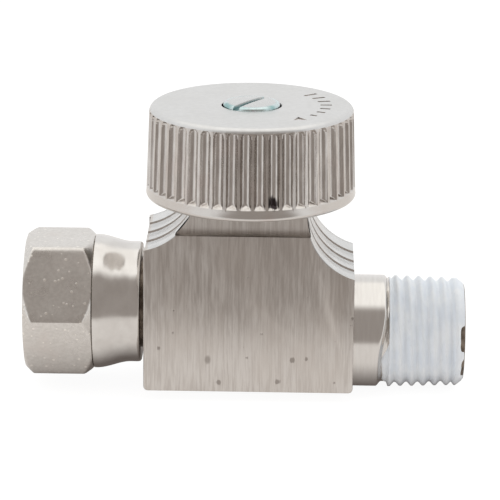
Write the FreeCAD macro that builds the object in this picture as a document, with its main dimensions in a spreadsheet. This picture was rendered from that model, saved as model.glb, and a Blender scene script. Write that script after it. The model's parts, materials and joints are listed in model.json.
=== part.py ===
import FreeCAD, Part

import os
import re

import Sketcher

# Needle valve for compressed air: a milled brass block with a free-turning nut on the inlet, a male taper
# thread on the outlet, and a fluted knob that screws a needle down into a seat between the two passages.
#
# Frame: millimetres. X runs along the flow, from the nut (-X) to the male thread (+X). Z is the needle's
# axis, up towards the knob. The origin is on the needle's axis, in the plane of the block's bottom face.
# Every thread that turns in its mate is drawn as rings on the male piece, in a plain female bore.

# ---------------------------------------------------------------------------------------------------------
# Driving dimensions: name, value, what it is
# ---------------------------------------------------------------------------------------------------------
SIZES = [
    ("block_w", 25.4, "block, along X"),
    ("block_d", 15.875, "block, along Y"),
    ("ledge_z", 19.65, "height of the ledge in front of and behind the neck"),
    ("neck_h", 2.35, "neck, above the ledge"),
    ("ledge_step", 1.15, "how far the neck is set back from the block's faces"),
    ("block_round", 0.8, "rounding of the block's bottom edges"),
    ("scoop_r", 7.94, "radius of both scooped top corners"),
    ("scoop_right_out", 2.2, "right scoop's centre, beyond the block's side"),
    ("scoop_right_up", 2.44, "right scoop's centre, above the ledge"),
    ("scoop_left_out", 1.5, "left scoop's centre, beyond the block's side"),
    ("scoop_left_up", 5.9, "left scoop's centre, above the ledge"),
    ("cutter_line_w", 0.36, "width of the lines between two passes of the cutter"),
    ("cutter_line_depth", 0.25, "depth of those lines"),
    ("inlet_z", 8.89, "height of the inlet's axis"),
    ("outlet_z", 5.59, "height of the outlet's axis"),
    ("inlet_bore_r", 2.6, "inlet passage"),
    ("outlet_bore_r", 3.2, "outlet passage"),
    ("inlet_overlap", 0.4, "how far the inlet passage runs in under the valve chamber"),
    ("outlet_overrun", 0.7, "how far the outlet passage runs past the orifice"),
    ("pipe_r", 6.86, "outside radius of the plain pipe stub"),
    ("stub_len", 4.1, "plain stub, from the block to the thread"),
    ("thread_len", 9.5, "taper thread, from the stub to the end face"),
    ("pipe_pitch", 1.411, "pitch of the taper thread, 18 to the inch"),
    ("pipe_depth", 0.85, "depth of the taper thread"),
    ("pipe_taper", 0.03125, "radius lost per unit of length, 1 in 16 on the diameter"),
    ("thread_relief", 0.14, "first crest of the taper thread, below the stub"),
    ("pipe_end_chamfer", 0.7, "chamfer on the end of the thread and of the stub"),
    ("sealant_t", 0.1, "sealing paste on the thread's crests"),
    ("orifice_r", 1.5, "seat orifice"),
    ("seat_z", 9.5, "height of the seat"),
    ("chamber_r", 4.0, "valve chamber above the seat"),
    ("chamber_top_z", 13.6, "top of the valve chamber"),
    ("spigot_r", 5.0, "nipple's end, pressed into the block"),
    ("spigot_len", 5.0, "how deep the nipple goes into the block"),
    ("journal_r", 5.6, "nipple, under the nut's lip"),
    ("journal_len", 3.7, "nipple, from the block to its flange"),
    ("flange_r", 6.55, "nipple's flange, which holds the nut"),
    ("flange_t", 1.5, "nipple's flange"),
    ("nose_r", 4.6, "nipple's nose, under the gasket"),
    ("nose_len", 1.9, "nipple's nose"),
    ("nut_gap", 0.5, "gap between the nut and the block"),
    ("nut_play", 0.1, "play of the nut along its axis"),
    ("nut_hex", 16.0, "nut, across its flats"),
    ("nut_hex_len", 8.25, "nut's hexagon, along its axis"),
    ("nut_chamfer", 1.15, "chamfer on the corners of the nut"),
    ("nut_neck_r", 8.1, "nut's round neck beside the hexagon"),
    ("nut_lip_r", 7.4, "nut's neck where it is rolled in, outside"),
    ("nut_neck_len", 5.85, "nut's round neck, along its axis"),
    ("nut_lip_len", 2.4, "length of the rolled-in part"),
    ("nut_roll_len", 1.6, "length of the slope between the neck and the rolled-in part"),
    ("nut_lip_round", 0.3, "rounding of the lip's edge"),
    ("nut_cavity_gap", 0.2, "gap round the nipple's flange, inside the nut"),
    ("nut_thread_r", 6.05, "nut's thread, crest radius"),
    ("nut_thread_len", 5.8, "nut's thread, along its axis"),
    ("nut_mouth", 0.6, "chamfer at the mouth of the thread"),
    ("gasket_t", 1.0, "nylon gasket in the nut"),
    ("gasket_r", 5.9, "nylon gasket in the nut, outside"),
    ("bonnet_r", 5.0, "bonnet's thread, outside"),
    ("bonnet_pitch", 1.0, "pitch of the bonnet's thread"),
    ("bonnet_hex", 12.7, "bonnet, across its flats"),
    ("bonnet_hex_t", 1.8, "bonnet's hexagon"),
    ("bonnet_reach", 7.9, "bonnet, below the top of the neck"),
    ("washer_t", 0.5, "copper washer under the bonnet"),
    ("washer_r", 6.3, "copper washer under the bonnet, outside"),
    ("guide_len", 4.0, "smooth bore that guides the stem, along Z"),
    ("guide_up", 0.3, "top of the smooth bore, above the bonnet's hexagon"),
    ("gland_r", 4.9, "thread of the gland on the bonnet, outside"),
    ("gland_pitch", 0.75, "pitch of the gland's thread"),
    ("gland_len", 3.5, "gland's thread, above the bonnet's hexagon"),
    ("packing_r", 3.9, "packing chamber"),
    ("packing_washer_t", 0.4, "steel washer under the packing"),
    ("packing_ring_t", 0.9, "one packing ring"),
    ("follower_t", 1.4, "gland follower"),
    ("gland_nut_hex", 12.7, "packing nut, across its flats"),
    ("gland_nut_top_t", 1.0, "packing nut's top"),
    ("gland_nut_len", 3.4, "packing nut, along Z"),
    ("stem_thread_r", 3.47, "stem's thread, outside"),
    ("stem_pitch", 0.75, "pitch of the stem's thread"),
    ("stem_turns", 3.0, "turns of the knob, from shut to fully open"),
    ("stem_r", 2.75, "stem's journal"),
    ("stem_neck_r", 2.2, "stem, above the needle"),
    ("needle_slope", 0.268, "needle's radius gained per unit of height"),
    ("needle_tip_r", 0.5, "end of the needle"),
    ("seat_gap", 0.02, "needle's clearance from the seat when shut"),
    ("ring_groove_depth", 0.85, "depth of the O-ring's groove"),
    ("ring_groove_w", 1.3, "width of the O-ring's groove"),
    ("drive_w", 4.7, "square end of the stem, across its flats"),
    ("drive_len", 1.8, "square end of the stem, along Z"),
    ("nipple_lead", 0.4, "chamfer at the inner end of the nipple"),
    ("bonnet_thread_depth", 0.5, "depth of the bonnet's thread"),
    ("gland_thread_depth", 0.35, "depth of the gland's thread"),
    ("gland_relief", 0.4, "how far the ends of the gland's boss are turned down"),
    ("gland_nut_bevel_in", 0.9, "bevel on the packing nut's corners, inwards"),
    ("gland_nut_bevel_down", 0.6, "bevel on the packing nut's corners, downwards"),
    ("stem_thread_depth", 0.4, "depth of the stem's thread"),
    ("stem_thread_relief", 0.6, "plain length between the needle and the stem's thread"),
    ("ring_groove_rise", 0.15, "O-ring's groove, above the bottom of the smooth bore"),
    ("screw_thread_depth", 0.25, "depth of the knob screw's thread"),
    ("screw_lead", 0.3, "chamfer at the tip of the knob's screw"),
    ("hole_play", 0.15, "radial play of a hole round a threaded shank"),
    ("running", 0.05, "radial clearance of what turns or slides"),
    ("fixed", 0.02, "radial clearance of what is screwed or pressed home"),
    ("slack", 0.1, "clearance along an axis"),
    ("knob_gap", 3.1, "height of the knob's rim above the ledge when shut"),
    ("knob_h", 11.2, "knob, along Z"),
    ("knob_rim_r", 12.75, "knob, at its rim"),
    ("knob_top_r", 12.35, "knob, at its top"),
    ("knob_wall", 1.85, "wall of the knob"),
    ("knob_top_t", 1.65, "top of the knob"),
    ("knob_round", 1.1, "rounding of the knob's top edge"),
    ("knob_rim_round", 0.45, "rounding of the knob's bottom edge"),
    ("knob_rim_h", 1.4, "smooth rim below the flutes"),
    ("hub_r", 5.0, "knob's hub"),
    ("hub_gap", 0.7, "gap between the hub and the packing nut when shut"),
    ("flute_count", 47, "flutes round the knob"),
    ("flute_r", 0.66, "radius of a flute's section"),
    ("flute_depth", 0.6, "depth of a flute at the rim"),
    ("flute_turn", -1.9, "turn of the flutes about Z, in degrees"),
    ("screw_r", 1.5, "knob's screw"),
    ("screw_pitch", 0.5, "pitch of the screw's thread"),
    ("screw_reach", 6.5, "screw, below its head"),
    ("screw_head_r", 3.45, "screw's head"),
    ("screw_head_t", 1.6, "screw's head, along Z"),
    ("screw_head_round", 0.35, "rounding of the head's top edge"),
    ("screw_proud", 0.45, "how far the head stands out of the knob"),
    ("slot_w", 0.8, "screw's slot"),
    ("slot_depth", 0.7, "screw's slot"),
    ("slot_turn", 57.0, "turn of the slot about Z, in degrees"),
    ("recess_gap", 0.18, "gap round the screw's head in the knob's recess"),
    ("lock_t", 0.4, "lock washer"),
    ("lock_r", 3.1, "lock washer, outside"),
    ("lock_gap_w", 0.5, "gap between two teeth of the lock washer"),
    ("lock_teeth", 8, "teeth of the lock washer"),
]

# Sizes that follow from the ones above: name, formula, what it is
DERIVED = [
    ("neck_top_z", "ledge_z + neck_h", "top of the neck"),
    ("inlet_end_x", "chamber_r - inlet_overlap", "end of the inlet passage, left of the needle's axis"),
    ("outlet_end_x", "orifice_r + outlet_overrun", "end of the outlet passage, left of the needle's axis"),
    ("thread_start_x", "block_w / 2 + stub_len", "start of the taper thread"),
    ("outlet_end_face_x", "thread_start_x + thread_len", "end face of the outlet"),
    ("crest_start_r", "pipe_r - thread_relief", "taper thread's crest beside the stub"),
    ("nut_end_x", "block_w / 2 + nut_gap", "end of the nut, left of the needle's axis"),
    ("nut_mouth_x", "nut_end_x + nut_neck_len + nut_hex_len", "mouth of the nut, left of the needle's axis"),
    ("lip_x", "block_w / 2 + journal_len - nut_play", "inner face of the nut's lip"),
    ("lip_bore_r", "journal_r + running", "bore of the nut's lip"),
    ("cavity_r", "flange_r + nut_cavity_gap", "nut's cavity, round the flange"),
    ("nose_x", "block_w / 2 + journal_len + flange_t + nose_len", "end of the nipple's nose"),
    ("bonnet_hex_z", "neck_top_z + washer_t", "underside of the bonnet's hexagon"),
    ("bonnet_top_z", "bonnet_hex_z + bonnet_hex_t", "top of the bonnet's hexagon"),
    ("guide_top_z", "bonnet_top_z + guide_up", "top of the smooth bore, floor of the packing chamber"),
    ("guide_z", "guide_top_z - guide_len", "bottom of the smooth bore"),
    ("guide_r", "stem_r + running", "smooth bore of the bonnet"),
    ("ring_floor_r", "stem_r - ring_groove_depth", "floor of the O-ring's groove"),
    ("ring_r", "(guide_r - ring_floor_r) / 2 - fixed", "radius of the stem O-ring's section"),
    ("gland_top_z", "bonnet_top_z + gland_len", "top of the gland's thread"),
    ("follower_z", "guide_top_z + packing_washer_t + 2 * packing_ring_t", "underside of the follower"),
    ("gland_nut_in_z", "follower_z + follower_t", "inner face of the packing nut's top"),
    ("gland_nut_top_z", "gland_nut_in_z + gland_nut_top_t", "top of the packing nut"),
    ("lift", "stem_turns * stem_pitch", "rise of the stem from shut to fully open"),
    ("needle_top_r", "orifice_r - seat_gap", "needle's radius at the seat when shut"),
    ("needle_low_z", "seat_z - (needle_top_r - needle_tip_r) / needle_slope", "end of the needle"),
    ("needle_high_z", "seat_z + (stem_neck_r - needle_top_r) / needle_slope", "top of the needle's cone"),
    ("stem_thread_top_z", "guide_z - lift - slack", "top of the stem's thread"),
    ("ring_groove_z", "guide_z + ring_groove_rise", "bottom of the O-ring's groove"),
    ("drive_z", "gland_nut_top_z + hub_gap", "bottom of the stem's square end, and of the knob's hub"),
    ("knob_z", "ledge_z + knob_gap", "bottom of the knob's rim"),
    ("knob_top_z", "knob_z + knob_h", "top of the knob"),
    ("lock_z", "knob_top_z + screw_proud - screw_head_t - lock_t", "underside of the lock washer"),
    ("head_z", "lock_z + lock_t", "underside of the screw's head"),
    ("recess_r", "screw_head_r + recess_gap", "recess in the knob for the screw's head"),
    ("stem_thread_len", "stem_thread_top_z - needle_high_z - stem_thread_relief", "stem's thread"),
]

doc = FreeCAD.newDocument("needle_valve")
sheet = doc.addObject("Spreadsheet::Sheet", "Sizes")
NAMES = {row[0] for row in SIZES + DERIVED}
CREST_HALF = 0.06  # half the flat on a thread's crest, in pitches


def bound(formula):
    """The formula with each size's name pointing at its cell in the sheet."""
    words = re.split(r"([a-z_][a-z0-9_]*)", formula)
    return "".join("Sizes." + word if word in NAMES else word for word in words)


def fill_sheet():
    rows = [(name, str(size), note) for name, size, note in SIZES]
    rows += [(name, "=" + formula, note) for name, formula, note in DERIVED]
    for number, (name, content, note) in enumerate(rows, start=1):
        sheet.set(f"A{number}", name)
        sheet.set(f"B{number}", content)
        sheet.set(f"C{number}", note)
        sheet.setAlias(f"B{number}", name)
    doc.recompute()


def value(formula):
    """A formula's value, in millimetres or as a plain number."""
    return float(sheet.evalExpression(bound(formula)))


# ---------------------------------------------------------------------------------------------------------
# Helpers for bodies, sketches and features
# ---------------------------------------------------------------------------------------------------------
def new_body(label, x="0", z="0", turn=None):
    """A sub-part at (x, 0, z), turned about Z by an angle in degrees where one is given."""
    body = doc.addObject("PartDesign::Body", label)
    body.Label = label
    if turn is not None:
        body.Placement.Rotation = FreeCAD.Rotation(FreeCAD.Vector(0, 0, 1), value(turn))
        body.setExpression("Placement.Rotation.Angle", bound(turn) + " * 1 deg")
    body.setExpression("Placement.Base.x", bound(x))
    body.setExpression("Placement.Base.z", bound(z))
    return body


def new_sketch(body, name, plane="XZ_Plane", up=None, out=None):
    """A sketch on one of the body's own planes, moved up in the plane or out along its normal."""
    sketch = body.newObject("Sketcher::SketchObject", name)
    support = next(o for o in body.Origin.OriginFeatures if o.Role == plane)
    sketch.AttachmentSupport = (support, [""])
    sketch.MapMode = "FlatFace"
    if up is not None:
        sketch.setExpression("AttachmentOffset.Base.y", bound(up))
    if out is not None:
        sketch.setExpression("AttachmentOffset.Base.z", bound(out))
    return sketch


def bind(sketch, constraint, formula):
    """Add a dimension to the sketch and tie it to a formula."""
    index = sketch.addConstraint(constraint)
    sketch.setExpression(f"Constraints[{index}]", bound(formula))


def draw_outline(sketch, corners):
    """A closed outline of straight lines through corners given as pairs of formulas."""
    places = [FreeCAD.Vector(value(a), value(b), 0) for a, b in corners]
    count = len(corners)
    first = sketch.GeometryCount
    for i in range(count):
        sketch.addGeometry(Part.LineSegment(places[i], places[(i + 1) % count]), False)
    for i in range(count):
        sketch.addConstraint(Sketcher.Constraint("Coincident", first + i, 2, first + (i + 1) % count, 1))
    for i, (a, b) in enumerate(corners):
        bind(sketch, Sketcher.Constraint("DistanceX", -1, 1, first + i, 1, places[i].x), a)
        bind(sketch, Sketcher.Constraint("DistanceY", -1, 1, first + i, 1, places[i].y), b)


def draw_circle(sketch, a, b, radius):
    """A circle with its centre and radius given as formulas."""
    centre = FreeCAD.Vector(value(a), value(b), 0)
    index = sketch.addGeometry(Part.Circle(centre, FreeCAD.Vector(0, 0, 1), value(radius)), False)
    bind(sketch, Sketcher.Constraint("DistanceX", -1, 1, index, 3, centre.x), a)
    bind(sketch, Sketcher.Constraint("DistanceY", -1, 1, index, 3, centre.y), b)
    bind(sketch, Sketcher.Constraint("Radius", index, value(radius)), radius)


def draw_hexagon(sketch, across):
    """A hexagon on the sketch's origin, with two corners on its horizontal axis."""
    corner = f"({across}) / sqrt(3)"
    corners = [(f"{corner} * cos({60 * i} deg)", f"{corner} * sin({60 * i} deg)") for i in range(6)]
    draw_outline(sketch, corners)


def finish(body, feature, removes):
    """Recompute and make sure that the feature added or removed material."""
    before = body.Shape.Volume if body.Shape.Solids else 0.0
    doc.recompute()
    body.Tip = feature
    doc.recompute()
    change = body.Shape.Volume - before
    if removes and change >= 0 or not removes and change <= 0:
        raise RuntimeError(f"{feature.Label} changed the volume by {change:.4f}")
    return feature


def turned(body, name, corners, axis="V_Axis", up=None, removes=False):
    """Material added or removed by turning an outline about a sketch axis: V_Axis is Z, H_Axis is X."""
    sketch = new_sketch(body, name + "_outline", up=up)
    draw_outline(sketch, corners)
    feature = body.newObject("PartDesign::Groove" if removes else "PartDesign::Revolution", name)
    feature.Profile = sketch
    feature.ReferenceAxis = (sketch, [axis])
    feature.Angle = 360
    return finish(body, feature, removes)


def padded(body, name, sketch, length, symmetric=False, reverse=False):
    """Material added by pushing a sketch along its normal."""
    feature = body.newObject("PartDesign::Pad", name)
    feature.Profile = sketch
    feature.setExpression("Length", bound(length))
    feature.SideType = "Symmetric" if symmetric else "One side"
    feature.Reversed = reverse
    return finish(body, feature, False)


def pocketed(body, name, sketch, length, symmetric=False, reverse=False):
    """Material removed by pushing a sketch against its normal, or along it where reverse is set."""
    feature = body.newObject("PartDesign::Pocket", name)
    feature.Profile = sketch
    feature.setExpression("Length", bound(length))
    feature.SideType = "Symmetric" if symmetric else "One side"
    feature.Reversed = reverse
    return finish(body, feature, True)


def repeated(body, name, original, sketch, count):
    """A feature repeated in a full circle about the normal of a sketch."""
    feature = body.newObject("PartDesign::PolarPattern", name)
    feature.Originals = [original]
    feature.Axis = (sketch, ["N_Axis"])
    feature.Angle = 360
    feature.setExpression("Occurrences", bound(count))
    return finish(body, feature, True)


def ring_outline(inner, outer, low, high):
    """The section of a plain ring, as (radius, height) formulas."""
    return [(inner, low), (outer, low), (outer, high), (inner, high)]


def thread_outline(start, count, radius, depth, pitch, taper="0"):
    """The zigzag of a thread's crests and roots, as (distance along the axis, radius) formulas."""
    points = []
    for i in range(count):
        for step, drop in ((CREST_HALF, "0"), (0.5, depth), (1 - CREST_HALF, "0")):
            along = f"{i + step:g} * {pitch}"
            points.append((f"{start} + {along}", f"{radius} - {drop} - {along} * {taper}"))
    return points


def swap(points):
    """The same points with their two formulas changed round, for a thread along Z."""
    return [(b, a) for a, b in points]


def whole_turns(length, pitch):
    """How many whole turns of a thread fit in a length."""
    return int(value(f"({length}) / ({pitch})") + 0.001)


# ---------------------------------------------------------------------------------------------------------
# Block, stub and passages
# ---------------------------------------------------------------------------------------------------------
def make_valve_body():
    body = new_body("valve_body")
    half = "block_w / 2"
    front = new_sketch(body, "block_front")
    draw_outline(front, [(f"-{half}", "0"), (half, "0"), (half, "ledge_z"), (f"-{half}", "ledge_z")])
    block = padded(body, "block", front, "block_d", symmetric=True)
    low_edges = [
        f"Edge{number}"
        for number, edge in enumerate(block.Shape.Edges, start=1)
        if abs(edge.CenterOfMass.z) < 1e-6 and abs(edge.CenterOfMass.y) < 1e-6
    ]
    rounding = body.newObject("PartDesign::Fillet", "bottom_rounding")
    rounding.Base = (block, low_edges)
    rounding.setExpression("Radius", bound("block_round"))
    finish(body, rounding, True)

    neck_front = new_sketch(body, "neck_front")
    draw_outline(
        neck_front,
        [(f"-{half}", "ledge_z"), (half, "ledge_z"), (half, "neck_top_z"), (f"-{half}", "neck_top_z")],
    )
    padded(body, "neck", neck_front, "block_d - 2 * ledge_step", symmetric=True)

    scoops = [
        ("right", "block_w / 2 + scoop_right_out", "ledge_z + scoop_right_up"),
        ("left", "-(block_w / 2 + scoop_left_out)", "ledge_z + scoop_left_up"),
    ]
    for side, x, z in scoops:
        circle = new_sketch(body, f"scoop_{side}_circle")
        draw_circle(circle, x, z, "scoop_r")
        pocketed(body, f"scoop_{side}", circle, "block_d + 2", symmetric=True)
        for place in (-1, 0, 1):
            line = new_sketch(body, f"cutter_line_{side}_{place + 2}_circle", out=f"{place} * block_d / 4")
            draw_circle(line, x, z, "scoop_r + cutter_line_depth")
            pocketed(body, f"cutter_line_{side}_{place + 2}", line, "cutter_line_w", symmetric=True)

    turns = whole_turns("thread_len - pipe_end_chamfer", "pipe_pitch")
    end_r = "crest_start_r - thread_len * pipe_taper - pipe_end_chamfer"
    stub = [("block_w / 2 - 1", "0"), ("block_w / 2 - 1", "pipe_r")]
    stub.append(("thread_start_x - pipe_end_chamfer", "pipe_r"))
    sizes = ("crest_start_r", "pipe_depth", "pipe_pitch", "pipe_taper")
    thread = thread_outline("thread_start_x", turns, *sizes)
    groove = [("thread_start_x", "crest_start_r - pipe_depth / 2")]
    end = [
        ("outlet_end_face_x - pipe_end_chamfer", f"{end_r} + pipe_end_chamfer"),
        ("outlet_end_face_x", end_r),
        ("outlet_end_face_x", "0"),
    ]
    turned(body, "outlet_pipe", stub + groove + thread + end, axis="H_Axis", up="outlet_z")

    stem_bore = [
        ("0", "outlet_z"),
        ("orifice_r", "outlet_z"),
        ("orifice_r", "seat_z"),
        ("chamber_r", "seat_z"),
        ("chamber_r", "chamber_top_z"),
        ("bonnet_r + fixed", "chamber_top_z"),
        ("bonnet_r + fixed", "neck_top_z + 1"),
        ("0", "neck_top_z + 1"),
    ]
    turned(body, "stem_bore", stem_bore, removes=True)
    inlet = [
        ("-block_w / 2 - 1", "0"),
        ("-block_w / 2 - 1", "spigot_r + fixed"),
        ("-block_w / 2 + spigot_len + slack", "spigot_r + fixed"),
        ("-block_w / 2 + spigot_len + slack", "inlet_bore_r"),
        ("-inlet_end_x", "inlet_bore_r"),
        ("-inlet_end_x", "0"),
    ]
    turned(body, "inlet_bore", inlet, axis="H_Axis", up="inlet_z", removes=True)
    outlet = [
        ("-outlet_end_x", "0"),
        ("-outlet_end_x", "outlet_bore_r"),
        ("outlet_end_face_x + 1", "outlet_bore_r"),
        ("outlet_end_face_x + 1", "0"),
    ]
    turned(body, "outlet_bore", outlet, axis="H_Axis", up="outlet_z", removes=True)
    return body


def make_thread_sealant():
    body = new_body("thread_sealant", x="thread_start_x", z="outlet_z")
    start = "crest_start_r + fixed"
    length = "thread_len - 2 * pipe_end_chamfer"
    outline = [
        ("pipe_pitch / 2", start),
        (length, f"{start} - ({length}) * pipe_taper"),
        (length, f"{start} - ({length}) * pipe_taper + sealant_t"),
        ("pipe_pitch / 2", f"{start} + sealant_t"),
    ]
    turned(body, "sealant", outline, axis="H_Axis")
    return body


# ---------------------------------------------------------------------------------------------------------
# Swivel inlet
# ---------------------------------------------------------------------------------------------------------
def make_swivel_nipple():
    body = new_body("swivel_nipple", x="-block_w / 2", z="inlet_z")
    outline = [
        ("spigot_len", "inlet_bore_r"),
        ("spigot_len", "spigot_r - nipple_lead"),
        ("spigot_len - nipple_lead", "spigot_r"),
        ("0", "spigot_r"),
        ("0", "journal_r"),
        ("-journal_len", "journal_r"),
        ("-journal_len", "flange_r"),
        ("-journal_len - flange_t", "flange_r"),
        ("-journal_len - flange_t", "nose_r"),
        ("-journal_len - flange_t - nose_len", "nose_r"),
        ("-journal_len - flange_t - nose_len", "inlet_bore_r"),
    ]
    turned(body, "nipple", outline, axis="H_Axis")
    return body


def make_swivel_gasket():
    body = new_body("swivel_gasket", x="-nose_x", z="inlet_z")
    bore = "inlet_bore_r + slack"
    outline = [("0", bore), ("0", "gasket_r"), ("-gasket_t", "gasket_r"), ("-gasket_t", bore)]
    turned(body, "gasket", outline, axis="H_Axis")
    return body


def make_swivel_nut():
    body = new_body("swivel_nut", x="-nut_mouth_x", z="inlet_z")
    section = new_sketch(body, "hexagon", plane="YZ_Plane")
    draw_hexagon(section, "nut_hex")
    padded(body, "hexagon_bar", section, "nut_hex_len")
    total = "nut_hex_len + nut_neck_len"
    outline = [
        ("nut_hex_len - 1", "0"),
        ("nut_hex_len - 1", "nut_neck_r"),
        (f"{total} - nut_lip_len - nut_roll_len", "nut_neck_r"),
        (f"{total} - nut_lip_len", "nut_lip_r + slack"),
        (f"{total} - nut_lip_round", "nut_lip_r"),
        (total, "nut_lip_r - nut_lip_round"),
        (total, "0"),
    ]
    turned(body, "neck_and_lip", outline, axis="H_Axis")
    corner = "nut_hex / sqrt(3)"
    beyond = f"{corner} + 0.1"
    corner_cuts = [
        ("mouth", [("0", f"{corner} - nut_chamfer"), ("nut_chamfer", beyond), ("0", beyond)]),
        (
            "neck",
            [
                ("nut_hex_len", f"{corner} - nut_chamfer"),
                ("nut_hex_len", beyond),
                ("nut_hex_len - nut_chamfer", beyond),
            ],
        ),
    ]
    for side, cut in corner_cuts:
        turned(body, f"corner_chamfer_{side}", cut, axis="H_Axis", removes=True)
    bore = [
        ("-1", "0"),
        ("-1", "nut_thread_r + nut_mouth"),
        ("0", "nut_thread_r + nut_mouth"),
        ("nut_mouth", "nut_thread_r"),
        ("nut_mouth + nut_thread_len", "nut_thread_r"),
        ("nut_mouth + nut_thread_len", "cavity_r"),
        ("nut_mouth_x - lip_x", "cavity_r"),
        ("nut_mouth_x - lip_x", "lip_bore_r"),
        (f"{total} + 1", "lip_bore_r"),
        (f"{total} + 1", "0"),
    ]
    turned(body, "bore", bore, axis="H_Axis", removes=True)
    return body


# ---------------------------------------------------------------------------------------------------------
# Bonnet, packing and gland
# ---------------------------------------------------------------------------------------------------------
def make_bonnet_washer():
    body = new_body("bonnet_washer", z="neck_top_z")
    turned(body, "washer", ring_outline("bonnet_r + hole_play", "washer_r", "0", "washer_t"))
    return body


def make_bonnet():
    body = new_body("bonnet", z="neck_top_z")
    hexagon_z = "washer_t"
    section = new_sketch(body, "hexagon", plane="XY_Plane", out=hexagon_z)
    draw_hexagon(section, "bonnet_hex")
    padded(body, "hexagon_bar", section, "bonnet_hex_t")
    turns = whole_turns("bonnet_reach - 1", "bonnet_pitch")
    depth = "bonnet_thread_depth"
    thread = swap(thread_outline(f"-bonnet_reach + {depth}", turns, "bonnet_r", depth, "bonnet_pitch"))
    shank = [("0", "-bonnet_reach"), (f"bonnet_r - {depth}", "-bonnet_reach")]
    shank += thread
    shank += [(f"bonnet_r - {depth}", "0"), (f"bonnet_r - {depth}", hexagon_z), ("0", hexagon_z)]
    turned(body, "shank", shank)
    top = "washer_t + bonnet_hex_t"
    gland_turns = whole_turns("gland_len - 0.5", "gland_pitch")
    boss_r = "gland_r - gland_relief"
    sizes = ("gland_r", "gland_thread_depth", "gland_pitch")
    gland = [("0", f"{top} - 0.5"), (boss_r, f"{top} - 0.5")]
    gland += swap(thread_outline(f"{top} + 0.2", gland_turns, *sizes))
    gland += [(boss_r, f"{top} + gland_len"), ("0", f"{top} + gland_len")]
    turned(body, "gland_boss", gland)
    bore = [
        ("0", "-bonnet_reach - 1"),
        ("stem_thread_r + running", "-bonnet_reach - 1"),
        ("stem_thread_r + running", "guide_z - neck_top_z"),
        ("guide_r", "guide_z - neck_top_z"),
        ("guide_r", "guide_top_z - neck_top_z"),
        ("packing_r", "guide_top_z - neck_top_z"),
        ("packing_r", f"{top} + gland_len + 1"),
        ("0", f"{top} + gland_len + 1"),
    ]
    turned(body, "bore", bore, removes=True)
    return body


def make_packing():
    """The washer, two packing rings and the follower that fill the packing chamber, from the bottom up."""
    inner = "stem_r + running"
    outer = "packing_r - fixed"
    layers = [
        ("packing_washer", "guide_top_z", "packing_washer_t"),
        ("packing_ring_lower", "guide_top_z + packing_washer_t", "packing_ring_t"),
        ("packing_ring_upper", "guide_top_z + packing_washer_t + packing_ring_t", "packing_ring_t"),
        ("gland_follower", "follower_z", "follower_t"),
    ]
    made = []
    for label, z, thickness in layers:
        body = new_body(label, z=z)
        turned(body, label + "_ring", ring_outline(inner, outer, "0", thickness))
        made.append(body)
    return made


def make_packing_nut():
    body = new_body("packing_nut", z="gland_nut_top_z - gland_nut_len")
    section = new_sketch(body, "hexagon", plane="XY_Plane")
    draw_hexagon(section, "gland_nut_hex")
    padded(body, "hexagon_bar", section, "gland_nut_len")
    corner = "gland_nut_hex / sqrt(3)"
    chamfer = [
        (f"{corner} - gland_nut_bevel_in", "gland_nut_len"),
        (f"{corner} + 0.1", "gland_nut_len - gland_nut_bevel_down"),
        (f"{corner} + 0.1", "gland_nut_len"),
    ]
    turned(body, "corner_chamfer", chamfer, removes=True)
    bore = [
        ("0", "-1"),
        ("gland_r + fixed", "-1"),
        ("gland_r + fixed", "gland_nut_len - gland_nut_top_t"),
        ("guide_r", "gland_nut_len - gland_nut_top_t"),
        ("guide_r", "gland_nut_len + 1"),
        ("0", "gland_nut_len + 1"),
    ]
    turned(body, "bore", bore, removes=True)
    return body


# ---------------------------------------------------------------------------------------------------------
# Stem and its O-ring
# ---------------------------------------------------------------------------------------------------------
def make_needle_stem():
    body = new_body("needle_stem", z="seat_z", turn="flute_turn")
    turns = whole_turns("stem_thread_len", "stem_pitch")
    above = "- seat_z"
    outline = [
        ("0", f"needle_low_z {above}"),
        ("needle_tip_r", f"needle_low_z {above}"),
        ("stem_neck_r", f"needle_high_z {above}"),
        ("stem_neck_r", f"stem_thread_top_z - {turns} * stem_pitch {above} - 0.05"),
    ]
    thread_low = f"stem_thread_top_z - {turns} * stem_pitch {above}"
    outline += swap(thread_outline(thread_low, turns, "stem_thread_r", "stem_thread_depth", "stem_pitch"))
    outline += [
        ("stem_thread_r", f"stem_thread_top_z {above}"),
        ("stem_r", f"stem_thread_top_z {above}"),
        ("stem_r", f"ring_groove_z {above}"),
        ("ring_floor_r", f"ring_groove_z {above}"),
        ("ring_floor_r", f"ring_groove_z + ring_groove_w {above}"),
        ("stem_r", f"ring_groove_z + ring_groove_w {above}"),
        ("stem_r", f"drive_z + drive_len {above}"),
        ("0", f"drive_z + drive_len {above}"),
    ]
    turned(body, "stem", outline)
    flats = new_sketch(body, "drive_flats", plane="XY_Plane", out=f"drive_z {above}")
    far = "2 * stem_r"
    draw_outline(flats, [(f"-{far}", f"-{far}"), (far, f"-{far}"), (far, far), (f"-{far}", far)])
    near = "drive_w / 2"
    draw_outline(flats, [(f"-{near}", f"-{near}"), (near, f"-{near}"), (near, near), (f"-{near}", near)])
    pocketed(body, "drive_square", flats, "drive_len + 1", reverse=True)
    hole_low = f"head_z - screw_reach - 0.8 {above}"
    hole = ring_outline("0", "screw_r + fixed", hole_low, f"drive_z + drive_len + 1 {above}")
    turned(body, "screw_hole", hole, removes=True)
    return body


def make_stem_o_ring():
    """A round-section ring, built as a torus, in the stem's groove."""
    ring = doc.addObject("Part::Torus", "stem_o_ring")
    ring.Label = "stem_o_ring"
    ring.setExpression("Radius1", bound("(ring_floor_r + guide_r) / 2"))
    ring.setExpression("Radius2", bound("ring_r"))
    ring.setExpression("Placement.Base.z", bound("ring_groove_z + ring_groove_w / 2"))
    return ring


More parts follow.
